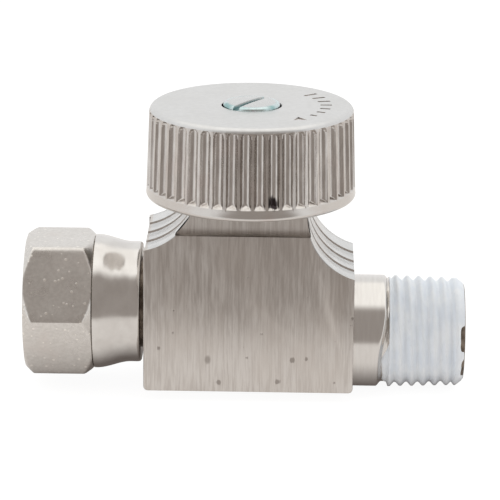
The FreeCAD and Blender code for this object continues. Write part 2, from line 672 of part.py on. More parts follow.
# ---------------------------------------------------------------------------------------------------------
# Knob and what holds it
# ---------------------------------------------------------------------------------------------------------
def make_knob():
    body = new_body("knob", z="knob_z", turn="flute_turn")
    outline = [
        ("0", "knob_h"),
        ("knob_top_r", "knob_h"),
        ("knob_rim_r", "0"),
        ("knob_rim_r - knob_wall", "0"),
        ("knob_rim_r - knob_wall", "knob_h - knob_top_t"),
        ("hub_r", "knob_h - knob_top_t"),
        ("hub_r", "drive_z - knob_z"),
        ("0", "drive_z - knob_z"),
    ]
    turned(body, "cap", outline)
    roundings = (("top_rounding", "knob_round", "knob_h"), ("rim_rounding", "knob_rim_round", "0"))
    for name, size, height in roundings:
        base = body.Tip
        level = value(height)
        edges = [
            f"Edge{number}"
            for number, edge in enumerate(base.Shape.Edges, start=1)
            if abs(edge.BoundBox.ZMin - level) < 1e-4 and edge.BoundBox.ZLength < 1e-4
            and edge.BoundBox.XMax > value("knob_rim_r - knob_wall") + 1e-3
        ]
        rounding = body.newObject("PartDesign::Fillet", name)
        rounding.Base = (base, edges)
        rounding.setExpression("Radius", bound(size))
        finish(body, rounding, True)
    socket = new_sketch(body, "drive_socket_square", plane="XY_Plane", out="drive_z - knob_z")
    near = "drive_w / 2 + fixed"
    back = f"-({near})"
    draw_outline(socket, [(back, back), (near, back), (near, near), (back, near)])
    pocketed(body, "drive_socket", socket, "drive_len + slack", reverse=True)
    recess = [
        ("0", "drive_z - knob_z + drive_len"),
        ("screw_r + hole_play", "drive_z - knob_z + drive_len"),
        ("screw_r + hole_play", "lock_z - knob_z"),
        ("recess_r", "lock_z - knob_z"),
        ("recess_r", "knob_h + 1"),
        ("0", "knob_h + 1"),
    ]
    turned(body, "screw_recess", recess, removes=True)
    flute_circle = new_sketch(body, "flute_circle", plane="XY_Plane", out="knob_rim_h")
    draw_circle(flute_circle, "0", "-(knob_rim_r - flute_depth + flute_r)", "flute_r")
    flute = pocketed(body, "flute", flute_circle, "knob_h", reverse=True)
    repeated(body, "flutes", flute, flute_circle, "flute_count")
    return body


def make_knob_screw():
    body = new_body("knob_screw", z="head_z", turn="slot_turn")
    turns = whole_turns("screw_reach - 1", "screw_pitch")
    sizes = ("screw_r", "screw_thread_depth", "screw_pitch")
    outline = [("0", "-screw_reach"), ("screw_r - screw_lead", "-screw_reach")]
    outline += swap(thread_outline("-screw_reach + screw_lead", turns, *sizes))
    outline += [
        ("screw_r - hole_play", "0"),
        ("screw_head_r", "0"),
        ("screw_head_r", "screw_head_t - screw_head_round"),
        ("screw_head_r - 0.3 * screw_head_round", "screw_head_t - 0.3 * screw_head_round"),
        ("screw_head_r - screw_head_round", "screw_head_t"),
        ("0", "screw_head_t"),
    ]
    turned(body, "shank_and_head", outline)
    slot = new_sketch(body, "slot_outline", plane="YZ_Plane")
    half = "slot_w / 2"
    low = "screw_head_t - slot_depth"
    high = "screw_head_t + 1"
    draw_outline(slot, [(f"-{half}", low), (half, low), (half, high), (f"-{half}", high)])
    pocketed(body, "slot", slot, "2 * screw_head_r + 2", symmetric=True)
    return body


def make_lock_washer():
    body = new_body("lock_washer", z="lock_z")
    turned(body, "ring", ring_outline("screw_r + 0.1", "lock_r", "0", "lock_t"))
    gap = new_sketch(body, "tooth_gap_outline", plane="XY_Plane")
    half = "lock_gap_w / 2"
    near = "screw_r - slack"
    far = "(screw_r + lock_r) / 2 + slack"
    draw_outline(gap, [(near, f"-{half}"), (far, f"-{half}"), (far, half), (near, half)])
    cut = pocketed(body, "tooth_gap", gap, "lock_t + 1", reverse=True)
    repeated(body, "tooth_gaps", cut, gap, "lock_teeth")
    return body


# ---------------------------------------------------------------------------------------------------------
# Build, check and write
# ---------------------------------------------------------------------------------------------------------
def build_all():
    fill_sheet()
    made = [make_valve_body(), make_thread_sealant()]
    made += [make_swivel_nipple(), make_swivel_gasket(), make_swivel_nut()]
    made += [make_bonnet_washer(), make_bonnet()]
    made += make_packing()
    made += [make_packing_nut(), make_needle_stem(), make_stem_o_ring()]
    made += [make_knob(), make_knob_screw(), make_lock_washer()]
    doc.recompute()
    return made


def check_all(made):
    for item in doc.Objects:
        if "Invalid" in item.State or "Error" in item.State:
            raise RuntimeError(f"{item.Label} failed: {item.State}")
    for item in made:
        shape = item.Shape
        if shape.isNull() or not shape.isValid() or len(shape.Solids) != 1:
            raise RuntimeError(f"{item.Label} isn't one valid solid")


def write_all(made):
    os.makedirs("parts", exist_ok=True)
    for item in made:
        item.Shape.exportStep(f"parts/{item.Label}.step")
        print(f"{item.Label:20s} {item.Shape.Volume:10.2f} mm3")


parts_made = build_all()
check_all(parts_made)
write_all(parts_made)
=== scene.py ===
# %% [markdown]
# # A needle valve and its finishes
# This lesson puts real surfaces on a small nickel-plated needle valve. Its sizes and its moving bodies come
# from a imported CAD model, which is loaded first and never changed. Some CAD nodes keep their shape and get a
# finish. The others are hidden, and a finer mesh made here stands in for each of them.

# %% Start
import json
import math

import bmesh
import bpy
from mathutils import Matrix, Vector, noise

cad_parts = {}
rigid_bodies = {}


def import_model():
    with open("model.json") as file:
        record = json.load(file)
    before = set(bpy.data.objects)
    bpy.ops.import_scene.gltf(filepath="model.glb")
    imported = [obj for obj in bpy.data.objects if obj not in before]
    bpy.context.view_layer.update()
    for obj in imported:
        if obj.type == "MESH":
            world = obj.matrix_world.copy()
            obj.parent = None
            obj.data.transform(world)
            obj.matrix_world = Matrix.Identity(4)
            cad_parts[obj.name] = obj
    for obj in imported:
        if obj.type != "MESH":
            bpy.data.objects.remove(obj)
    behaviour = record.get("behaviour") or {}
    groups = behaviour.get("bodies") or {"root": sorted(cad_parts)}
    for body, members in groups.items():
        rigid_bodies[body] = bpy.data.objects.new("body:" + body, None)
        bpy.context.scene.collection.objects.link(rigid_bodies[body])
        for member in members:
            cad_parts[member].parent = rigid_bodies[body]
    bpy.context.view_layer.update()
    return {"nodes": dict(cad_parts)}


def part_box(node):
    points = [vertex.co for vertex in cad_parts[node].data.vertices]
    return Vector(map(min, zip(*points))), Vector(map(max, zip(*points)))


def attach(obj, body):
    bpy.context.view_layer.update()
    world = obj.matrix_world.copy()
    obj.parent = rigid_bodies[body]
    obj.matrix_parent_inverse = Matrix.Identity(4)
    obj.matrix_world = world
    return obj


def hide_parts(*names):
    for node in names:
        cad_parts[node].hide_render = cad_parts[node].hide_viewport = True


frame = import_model()
MM = 0.001

# %% [markdown]
# ## Sizes
# Every mesh has to fit the frame. The main sizes could be typed in again, but then they would go wrong as
# soon as the CAD model changes. So they are read from the boxes of the CAD nodes, in millimetres. Only small
# details, such as the width of a chamfer, are plain values, given where they are first needed.

# %% Sizes from the frame


def box_mm(node):
    """The lowest and highest corner of a CAD node, in millimetres."""
    low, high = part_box(node)
    return low / MM, high / MM


body_low, body_high = box_mm("valve_body")
nut_low, nut_high = box_mm("swivel_nut")
knob_low, knob_high = box_mm("knob")
screw_low, screw_high = box_mm("knob_screw")
washer_low, washer_high = box_mm("lock_washer")
paste_low, paste_high = box_mm("thread_sealant")

BLOCK_HALF = -body_low.x
BLOCK_DEEP = body_high.y
NECK_TOP = body_high.z
OUTLET_END = body_high.x
OUTLET_Z = (paste_low.z + paste_high.z) / 2
PIPE_R = OUTLET_Z - body_low.z
INLET_Z = (nut_low.z + nut_high.z) / 2
FLOOR_Z = body_low.z
print(f"block {2 * BLOCK_HALF:.1f} wide, pipe radius {PIPE_R:.2f}, floor at {FLOOR_Z:.2f}")

# %% [markdown]
# ## Camera
# A long lens far away keeps the valve's verticals straight, as in a catalogue. The camera stands a little
# above the valve and looks down at it, and it is turned about its own line of sight by half a degree, the
# way a hand-set tripod is. It could be aimed with a Track To constraint, but that can't hold such a roll. So
# its three axes are worked out and put into one matrix.

# %% Camera
CAMERA_SIDE = math.radians(0.9)
CAMERA_UP = math.radians(16.45)
CAMERA_ROLL = math.radians(0.58)
CAMERA_FAR = 354.9
CAMERA_LENS = 208.7
CAMERA_AIM = Vector((-0.03, 0.0, 15.66))

level = math.cos(CAMERA_UP)
forward = Vector((-math.sin(CAMERA_SIDE) * level, math.cos(CAMERA_SIDE) * level, -math.sin(CAMERA_UP)))
flat_right = forward.cross(Vector((0, 0, 1))).normalized()
flat_up = flat_right.cross(forward)
right = flat_right * math.cos(CAMERA_ROLL) + flat_up * math.sin(CAMERA_ROLL)
up = right.cross(forward)
camera_data = bpy.data.cameras.new("camera")
camera_data.lens = CAMERA_LENS
camera_data.clip_start = 0.01
camera = bpy.data.objects.new("camera", camera_data)
facing = Matrix((right, up, -forward)).transposed().to_4x4()
camera.matrix_world = Matrix.Translation((CAMERA_AIM - forward * CAMERA_FAR) * MM) @ facing
bpy.context.scene.collection.objects.link(camera)
bpy.context.scene.camera = camera
print("camera at", [round(c, 4) for c in camera.location])

# %% [markdown]
# ## Node helpers
# A finish, a light and a Geometry Nodes tree are all trees of nodes. They can be wired by hand in the
# editor, or with a long run of new and link calls. A few helpers keep this readable: each adds one node,
# links what it is given and hands back an output for the next one.

# %% Nodes


def add_node(tree, kind, inputs=None, **settings):
    """A node with its settings, and its inputs set to values or linked to other nodes' outputs."""
    made = tree.nodes.new(kind)
    for name, setting in settings.items():
        setattr(made, name, setting)
    for name, source in (inputs or {}).items():
        socket = made.inputs[name]
        if isinstance(source, bpy.types.NodeSocket):
            tree.links.new(source, socket)
        else:
            socket.default_value = source
    return made


def maths(tree, operation, *numbers):
    """One step of arithmetic on numbers or outputs."""
    return add_node(tree, "ShaderNodeMath", dict(enumerate(numbers)), operation=operation).outputs[0]


def vector_maths(tree, operation, *vectors):
    """One step of vector arithmetic. A length or a dot product gives a number, the others a vector."""
    made = add_node(tree, "ShaderNodeVectorMath", dict(enumerate(vectors)), operation=operation)
    return made.outputs["Value" if operation in ("LENGTH", "DOT_PRODUCT") else "Vector"]


def axes_of(tree, vector):
    """The three numbers of a vector, found by the names X, Y and Z."""
    return add_node(tree, "ShaderNodeSeparateXYZ", {"Vector": vector}).outputs


print("node helpers ready")

# %% [markdown]
# Most finishes are blends: noise picks a place between two colours, and a height or a distance fades one
# look into another. A Mix node and a Map Range node do both.

# %% Blends


def blend_colours(tree, share, first, second):
    """A colour between two others, by a share from 0 to 1."""
    mix = tree.nodes.new("ShaderNodeMix")
    mix.data_type = "RGBA"
    for index, source in ((0, share), (6, first), (7, second)):
        if isinstance(source, bpy.types.NodeSocket):
            tree.links.new(source, mix.inputs[index])
        elif index == 0:
            mix.inputs[index].default_value = source
        else:
            mix.inputs[index].default_value = (*source, 1.0)
    return mix.outputs[2]


def blend_numbers(tree, source, low, high, out_low, out_high, smooth=True):
    """A number moved from one range to another, held at its ends."""
    kind = "SMOOTHSTEP" if smooth else "LINEAR"
    inputs = {"Value": source, "From Min": low, "From Max": high, "To Min": out_low, "To Max": out_high}
    return add_node(tree, "ShaderNodeMapRange", inputs, interpolation_type=kind).outputs[0]


print("blends ready")

# %% [markdown]
# ## Light
# Bare metal shows what stands around it more than it shows lamps. Lamps would leave small hard spots on it,
# so the light is a white tent instead: the world is white all round, brighter straight above, with one large
# dark opening in front, where the camera stands. Round surfaces turn that into the bright and dark bands
# that make them look like plated metal. The camera itself sees plain white behind the valve.

# %% White tent
WHITE = (1.0, 1.0, 1.0)
OVERHEAD = (1.32, 1.30, 1.26)
OVERHEAD_FROM = 0.62
OVERHEAD_FULL = 0.80
OPENING = (0.40, 0.365, 0.34)
OPENING_SIDE = math.radians(10)
OPENING_UP = math.radians(18)
OPENING_HALF = math.radians(47)
OPENING_SOFT = math.radians(9)


def white_tent():
    world = bpy.data.worlds.new("white_tent")
    world.use_nodes = True
    tree = world.node_tree
    tree.nodes.clear()
    direction = add_node(tree, "ShaderNodeTexCoord").outputs["Generated"]
    overhead = blend_numbers(tree, axes_of(tree, direction)["Z"], OVERHEAD_FROM, OVERHEAD_FULL, 0, 1)
    colour = blend_colours(tree, overhead, WHITE, OVERHEAD)
    flat = math.cos(OPENING_UP)
    axis = (math.sin(OPENING_SIDE) * flat, -math.cos(OPENING_SIDE) * flat, math.sin(OPENING_UP))
    towards = vector_maths(tree, "DOT_PRODUCT", direction, axis)
    outer = math.cos(OPENING_HALF + OPENING_SOFT)
    inner = math.cos(OPENING_HALF - OPENING_SOFT)
    colour = blend_colours(tree, blend_numbers(tree, towards, outer, inner, 0, 1), colour, OPENING)
    seen = add_node(tree, "ShaderNodeLightPath").outputs["Is Camera Ray"]
    colour = blend_colours(tree, seen, colour, WHITE)
    glow = add_node(tree, "ShaderNodeBackground", {"Color": colour, "Strength": 1.0})
    add_node(tree, "ShaderNodeOutputWorld", {"Surface": glow.outputs[0]})
    return world


bpy.context.scene.world = white_tent()
bpy.context.scene.view_settings.view_transform = "Standard"
print("tent opening is", round(2 * math.degrees(OPENING_HALF)), "degrees wide")

# %% [markdown]
# The floor is a white light table. It ends softly a little way in front of the valve, beyond which the
# tent's dark opening begins, so upright faces are light at their foot and darker at their top. A real table
# is dark close under the valve, where the valve keeps the light off it, and low round metal shows that as a
# dark band. A glowing table has no such shade of its own, so its glow is turned down there, but only for
# rays that come off the metal: the Light Path node tells them from the camera's rays, which see plain white.

# %% Light table
FLOOR_HALF = 600.0
FLOOR_BACK = 500.0
FLOOR_FRONT = 44.0
FLOOR_FADE = 26.0
FLOOR_GLOW = 0.93
FLOOR_DIFFUSE = 0.16
FLOOR_REFLECTED = (0.82, 0.785, 0.755)
UNDER_REFLECTED = (0.13, 0.11, 0.10)
UNDER_FRONT = (-10.5, -1.5)
UNDER_BACK = (16.0, 26.0)
UNDER_SIDE = (26.0, 31.0)


def table_finish():
    paper = bpy.data.materials.new("white_table")
    paper.use_nodes = True
    tree = paper.node_tree
    tree.nodes.clear()
    axes = axes_of(tree, add_node(tree, "ShaderNodeTexCoord").outputs["Object"])
    side = maths(tree, "ABSOLUTE", axes["X"])
    front_edge = blend_numbers(tree, axes["Y"], UNDER_FRONT[0] * MM, UNDER_FRONT[1] * MM, 0, 1)
    back_edge = blend_numbers(tree, axes["Y"], UNDER_BACK[0] * MM, UNDER_BACK[1] * MM, 1, 0)
    side_edge = blend_numbers(tree, side, UNDER_SIDE[0] * MM, UNDER_SIDE[1] * MM, 1, 0)
    under = maths(tree, "MULTIPLY", maths(tree, "MULTIPLY", front_edge, back_edge), side_edge)
    tone = blend_colours(tree, under, FLOOR_REFLECTED, UNDER_REFLECTED)
    seen = add_node(tree, "ShaderNodeLightPath").outputs["Is Camera Ray"]
    tone = blend_colours(tree, seen, tone, WHITE)
    diffuse = add_node(tree, "ShaderNodeBsdfDiffuse", {"Color": (FLOOR_DIFFUSE,) * 3 + (1,)}).outputs[0]
    glow = add_node(tree, "ShaderNodeEmission", {"Color": tone, "Strength": FLOOR_GLOW}).outputs[0]
    table = add_node(tree, "ShaderNodeAddShader", {0: diffuse, 1: glow}).outputs[0]
    clear = add_node(tree, "ShaderNodeBsdfTransparent").outputs[0]
    faded, full = -(FLOOR_FRONT + FLOOR_FADE) * MM, -(FLOOR_FRONT - FLOOR_FADE / 2) * MM
    fade = blend_numbers(tree, axes["Y"], faded, full, 0, 1)
    surface = add_node(tree, "ShaderNodeMixShader", {0: fade, 1: clear, 2: table}).outputs[0]
    add_node(tree, "ShaderNodeOutputMaterial", {"Surface": surface})
    return paper


floor_bm = bmesh.new()
floor_place = Matrix.Translation((0, FLOOR_BACK * MM, FLOOR_Z * MM))
bmesh.ops.create_grid(floor_bm, x_segments=8, y_segments=8, size=FLOOR_HALF * MM, matrix=floor_place)
floor_mesh = bpy.data.meshes.new("floor")
floor_bm.to_mesh(floor_mesh)
floor_bm.free()
floor_mesh.materials.append(table_finish())
floor = bpy.data.objects.new("floor", floor_mesh)
bpy.context.scene.collection.objects.link(floor)
print("light table at", round(FLOOR_Z, 2))

# %% [markdown]
# ## Finishes
# All the bright pieces are brass with a thin nickel plate, but each was worked in another way before it was
# plated, and that is what the eye reads. An image texture could show it, but it would have to be unwrapped
# and would blur close by. So the finishes are procedural and share one recipe: a metal with grain, blotches,
# roughness and a small bump, in which the direction and the size of the grain differ.

# %% Start and end of a finish


def start_material(name):
    """A new material with an empty tree, and the place on the object that its textures use."""
    material = bpy.data.materials.new(name)
    material.use_nodes = True
    material.node_tree.nodes.clear()
    place = add_node(material.node_tree, "ShaderNodeTexCoord").outputs["Object"]
    return material, material.node_tree, place


def stretched_noise(tree, place, scale, detail=4.0, roughness=0.55, distortion=0.0):
    """Noise whose grain is as long or short along X, Y and Z as the three scales say, in waves per metre."""
    moved = add_node(tree, "ShaderNodeMapping", {"Vector": place, "Scale": scale}).outputs[0]
    inputs = {"Vector": moved, "Scale": 1.0, "Detail": detail, "Roughness": roughness}
    inputs["Distortion"] = distortion
    return add_node(tree, "ShaderNodeTexNoise", inputs).outputs["Fac"]


def end_material(tree, colour, roughness, heights, metallic=1.0, depth=0.02, strength=0.3, **fixed):
    """The shader at the end of a finish. Heights is a bump in units of depth, in millimetres."""
    bump = add_node(tree, "ShaderNodeBump", {"Strength": strength, "Distance": depth * MM, "Height": heights})
    inputs = {"Base Color": colour, "Roughness": roughness, "Metallic": metallic, "Normal": bump.outputs[0]}
    inputs.update({name.replace("_", " "): number for name, number in fixed.items()})
    shader = add_node(tree, "ShaderNodeBsdfPrincipled", inputs)
    add_node(tree, "ShaderNodeOutputMaterial", {"Surface": shader.outputs[0]})


print("finish helpers ready")

# %% [markdown]
# This is the shared recipe. Fine noise is the grain, and it sets the colour and the bump. Wide noise makes
# blotches, which darken the colour a little and change the polish, because no plate is even.

# %% Metal recipe


def metal(name, dark, light, grain, rough, depth=0.02, strength=0.3, blotch=260.0):
    """Plated or plain metal: fine grain between two colours, with wide soft blotches in colour and polish."""
    material, tree, place = start_material(name)
    fine = stretched_noise(tree, place, grain)
    wide = stretched_noise(tree, place, (blotch, blotch, blotch), detail=2.0)
    share = blend_numbers(tree, fine, 0.3, 0.7, 0, 1)
    colour = blend_colours(tree, share, dark, light)
    colour = blend_colours(tree, blend_numbers(tree, wide, 0.45, 0.75, 0, 0.35), colour, dark)
    roughness = blend_numbers(tree, wide, 0.3, 0.7, rough[0], rough[1])
    end_material(tree, colour, roughness, fine, depth=depth, strength=strength)
    return material


TURNED_DARK, TURNED_LIGHT = (0.655, 0.63, 0.605), (0.69, 0.67, 0.645)
MILLED_DARK, MILLED_LIGHT = (0.60, 0.60, 0.595), (0.66, 0.66, 0.655)
STAIN_DARK, STAIN_LIGHT = (0.09, 0.07, 0.055), (0.24, 0.20, 0.165)
turned_nickel = metal("turned_nickel", TURNED_DARK, TURNED_LIGHT, (2600, 300, 300), (0.14, 0.19), 0.003)
milled_nickel = metal("milled_nickel", MILLED_DARK, MILLED_LIGHT, (900, 260, 900), (0.24, 0.32), 0.006)
stained_nickel = metal("stained_nickel", STAIN_DARK, STAIN_LIGHT, (900, 900, 900), (0.3, 0.5))
print("metals:", turned_nickel.name, milled_nickel.name, stained_nickel.name)

# %% [markdown]
# The block was brushed up and down before plating, so its grain is long in height and very fine across. The
# plate has small pits, mostly low on the faces, and one dent. Modelling each pit would cost many faces.
# Instead, a flat Voronoi texture cuts the face into cells, a random number picks the few cells that have a
# pit, and the pit is dark and sunken by the bump only.

# %% Pits
PITS_PER_METRE = 560.0
PIT_PICKED = 0.80
PIT_LARGEST = 0.24
PIT_LOW, PIT_HIGH = 8.0, 12.0
PIT_SHARE_HIGH = 0.3
FACE_STRENGTH = 0.68


def away_from(tree, place, point, stretch):
    """Distance from a point given in millimetres, counted more or less along each axis."""
    centred = vector_maths(tree, "SUBTRACT", place, tuple(c * MM for c in point))
    return vector_maths(tree, "LENGTH", vector_maths(tree, "MULTIPLY", centred, stretch))


def small_pits(tree, place, grain):
    """More than 0 in a pit on the front or back face. The grain makes its edge ragged."""
    axes = axes_of(tree, place)
    flat = add_node(tree, "ShaderNodeCombineXYZ", {"X": axes["X"], "Y": axes["Z"]}).outputs[0]
    inputs = {"Vector": flat, "Scale": PITS_PER_METRE, "Randomness": 1.0}
    cells = add_node(tree, "ShaderNodeTexVoronoi", inputs, voronoi_dimensions="2D").outputs
    picked = add_node(tree, "ShaderNodeSeparateColor", {"Color": cells["Color"]}).outputs["Red"]
    size = blend_numbers(tree, picked, PIT_PICKED, 1.0, 0.0, PIT_LARGEST, smooth=False)
    lower = blend_numbers(tree, axes["Z"], PIT_LOW * MM, PIT_HIGH * MM, 1.0, PIT_SHARE_HIGH)
    ragged = blend_numbers(tree, grain, 0.3, 0.7, -0.08, 0.10, smooth=False)
    reach = maths(tree, "ADD", cells["Distance"], ragged)
    inside = maths(tree, "SUBTRACT", maths(tree, "MULTIPLY", size, lower), reach)
    face_from, face_at = (BLOCK_DEEP - 0.3) * MM, (BLOCK_DEEP - 0.05) * MM
    on_face = blend_numbers(tree, maths(tree, "ABSOLUTE", axes["Y"]), face_from, face_at, 0, FACE_STRENGTH)
    return maths(tree, "MULTIPLY", blend_numbers(tree, inside, 0.0, 0.10, 0, 1), on_face)


print("pits ready, about", round(1 / PITS_PER_METRE / MM, 1), "mm between cells")

# %% [markdown]
# Two noises, one fine and one broad, are added for the streaks, and a third gives the plate its warm clouds.

# %% Brushed plate
BRUSHED_DARK, BRUSHED_LIGHT = (0.54, 0.505, 0.475), (0.68, 0.65, 0.62)
BRUSHED_WARM = (0.60, 0.555, 0.515)
PIT_COLOUR = (0.22, 0.19, 0.17)
PIT_DEPTH = -5.0
DENT = (-4.9, -BLOCK_DEEP, 4.1)
DENT_STRETCH = (1.2, 1.0, 0.8)
DENT_INNER, DENT_OUTER = 0.2, 0.6


def brushed_plate():
    material, tree, place = start_material("brushed_nickel")
    fine = stretched_noise(tree, place, (5200, 5200, 420), detail=5.0, roughness=0.65, distortion=0.2)
    broad = stretched_noise(tree, place, (2600, 2600, 150), detail=4.0)
    cloud = stretched_noise(tree, place, (170, 170, 120), detail=2.0)
    streak = maths(tree, "ADD", fine, broad)
    share = blend_numbers(tree, streak, 0.76, 1.24, 0, 1)
    colour = blend_colours(tree, share, BRUSHED_DARK, BRUSHED_LIGHT)
    colour = blend_colours(tree, blend_numbers(tree, cloud, 0.45, 0.7, 0, 0.4), colour, BRUSHED_WARM)
    from_dent = away_from(tree, place, DENT, DENT_STRETCH)
    dent = blend_numbers(tree, from_dent, DENT_INNER * MM, DENT_OUTER * MM, 0.6, 0)
    pit = maths(tree, "MAXIMUM", small_pits(tree, place, fine), dent)
    colour = blend_colours(tree, pit, colour, PIT_COLOUR)
    heights = maths(tree, "ADD", streak, maths(tree, "MULTIPLY", pit, PIT_DEPTH))
    roughness = blend_numbers(tree, share, 0, 1, 0.30, 0.38, smooth=False)
    end_material(tree, colour, roughness, heights, depth=0.012, strength=0.5)
    return material


brushed_nickel = brushed_plate()
print("made", brushed_nickel.name)

# %% [markdown]
# ## Shaping helpers
# Blender's modifiers could turn a profile (Screw) and round its edges (Bevel), but a thread that fades out
# or a chamfer that cuts a hexagon needs more say over each point. So the shapes are drawn as grids with
# bmesh, in millimetres, and turned into objects by one helper. Smooth shading then hides the steps of the
# grid, while edges sharper than an angle stay crisp.

# %% From a drawn mesh to an object


def link_mesh(name, bm, materials=()):
    """A finished mesh as an object at the origin, from millimetres to metres."""
    bmesh.ops.scale(bm, vec=(MM, MM, MM), verts=bm.verts)
    mesh = bpy.data.meshes.new(name)
    bm.to_mesh(mesh)
    bm.free()
    made = bpy.data.objects.new(name, mesh)
    bpy.context.scene.collection.objects.link(made)
    for material in materials:
        mesh.materials.append(material)
    return made


def shade(obj, degrees):
    """Smooth shading that keeps edges sharper than an angle."""
    obj.data.shade_smooth()
    obj.data.set_sharp_from_angle(angle=math.radians(degrees))


def stepped(low, high, step):
    """Evenly spaced numbers from low to high, about a step apart."""
    count = max(1, round(abs(high - low) / step))
    return [low + (high - low) * i / count for i in range(count + 1)]


def ease(x, low, high):
    """0 below low, 1 above high, smooth between."""
    t = min(max((x - low) / (high - low), 0), 1)
    return t * t * (3 - 2 * t)


print("mesh helpers ready")

# %% [markdown]
# Pipes, nuts and screws are all made on a lathe, so one helper draws them: a section is swept round an axis
# as a grid of rows and columns. The radius may depend on the angle too, which gives hexagons and dents.

# %% Lathe


def even_angles(count):
    return [2 * math.pi * i / count for i in range(count)]


def swept_row(bm, along, radii, angles, axis, centre):
    """One ring of vertices. A ring with no radius is a single vertex on the axis."""
    if max(radii) <= 0:
        return [bm.verts.new((along, 0, centre) if axis == "X" else (0, 0, along))] * len(angles)
    row = []
    for r, angle in zip(radii, angles):
        a, b = r * math.cos(angle), r * math.sin(angle)
        row.append(bm.verts.new((along, a, centre + b) if axis == "X" else (a, b, along)))
    return row


def swept(section, angles, radius_of=None, axis="X", centre=0.0, closed=False):
    """A section of (along, radius, share) turned round X at a height, or round Z, and closed on itself."""
    bm = bmesh.new()
    rows = []
    for along, radius, share in section:
        radii = [radius] * len(angles)
        if radius_of and radius > 0:
            radii = [radius_of(along, radius, share, angle) for angle in angles]
        rows.append(swept_row(bm, along, radii, angles, axis, centre))
    pairs = list(zip(rows, rows[1:])) + ([(rows[-1], rows[0])] if closed else [])
    for low, high in pairs:
        for i in range(len(angles)):
            j = (i + 1) % len(angles)
            corners = list(dict.fromkeys((low[i], low[j], high[j], high[i])))
            if len(corners) > 2:
                bm.faces.new(corners)
    bmesh.ops.recalc_face_normals(bm, faces=bm.faces)
    return bm


print("lathe ready")

# %% [markdown]
# A thread is a groove that moves along as it goes round. It could be cut with a boolean, using a coil as the
# tool, but that is slow and leaves poor faces. In a swept grid the groove's depth is just one more term of
# the radius, and the helix is true.

# %% Threads and edges


def groove(phase, crest=0.16, root=0.12):
    """Depth of a thread from 0 on its crest to 1 in its root, for a phase of 0 at the crest's middle."""
    away = 1 - 2 * abs((phase % 1) - 0.5)
    cut = min(max((away - crest) / (1 - crest - root), 0), 1)
    return cut * cut * (3 - 2 * cut) * 0.35 + cut * 0.65


def soft_min(a, b, soft):
    """The smaller of two numbers, rounded where they cross."""
    h = max(soft - abs(a - b), 0) / soft
    return min(a, b) - h * h * soft / 4


def near_angle(angle, middle, half):
    """1 at an angle, 0 beyond half of a range from it."""
    away = abs((angle - middle + math.pi) % (2 * math.pi) - math.pi)
    return 1 - ease(away, 0.35 * half, half)


print("a groove half way down its side is", round(groove(0.25), 2), "deep")

# %% [markdown]
# ## The block
# The block is bar stock, milled with a round cutter at both top corners, which left a narrow neck and three
# thin lines between the cutter's passes. It could be cut from a box with booleans. Here it is drawn as a
# row of sections from front to back instead, because that leaves clean edges that can be broken with a small
# bevel, and plated metal shows its edges as bright lines. This cell draws one section.

# %% Block outline
LEDGE_Z = 19.65
SCOOP_R = 7.94
SCOOP_RIGHT = (BLOCK_HALF + 2.2, LEDGE_Z + 2.44)
SCOOP_LEFT = (-BLOCK_HALF - 1.5, LEDGE_Z + 5.9)
FOOT_ROUND = 0.55
FOOT_STEPS = 5
ARC_STEPS = 26
TOP_STEPS = 8


def arc(centre, radius, start, end, steps):
    """Points on a circle between two angles, both ends included."""
    x, z = centre
    angles = [start + (end - start) * i / steps for i in range(steps + 1)]
    return [(x + radius * math.cos(a), z + radius * math.sin(a)) for a in angles]


def angle_at_side(scoop, radius, half):
    """Where a scoop's circle meets the block's side, measured down from the level of its centre."""
    return math.acos((abs(scoop[0]) - half) / radius)


def angle_at_height(scoop, radius, z):
    """Where a scoop's circle meets a height, measured down from the level of its centre."""
    return math.asin((scoop[1] - z) / radius)


def neck_outline(radius, foot, top):
    """The neck's two scooped sides and its flat top, from right to left."""
    right_foot = math.pi + angle_at_height(SCOOP_RIGHT, radius, foot)
    right_top = math.pi + angle_at_height(SCOOP_RIGHT, radius, top)
    left_top = -angle_at_height(SCOOP_LEFT, radius, top)
    left_foot = -angle_at_height(SCOOP_LEFT, radius, foot)
    right_part = arc(SCOOP_RIGHT, radius, right_foot, right_top, TOP_STEPS)
    left_part = arc(SCOOP_LEFT, radius, left_top, left_foot, TOP_STEPS)
    a, b = right_part[-1][0], left_part[0][0]
    across = [(a + (b - a) * i / TOP_STEPS, top) for i in range(1, TOP_STEPS)]
    return right_part + across + left_part


def ledge_outline(right, left, ledge):
    """The flat ledge, with as many points as the neck."""
    across = [(right + (left - right) * i / TOP_STEPS, ledge) for i in range(TOP_STEPS + 1)]
    return [(right, ledge)] * TOP_STEPS + across + [(left, ledge)] * TOP_STEPS


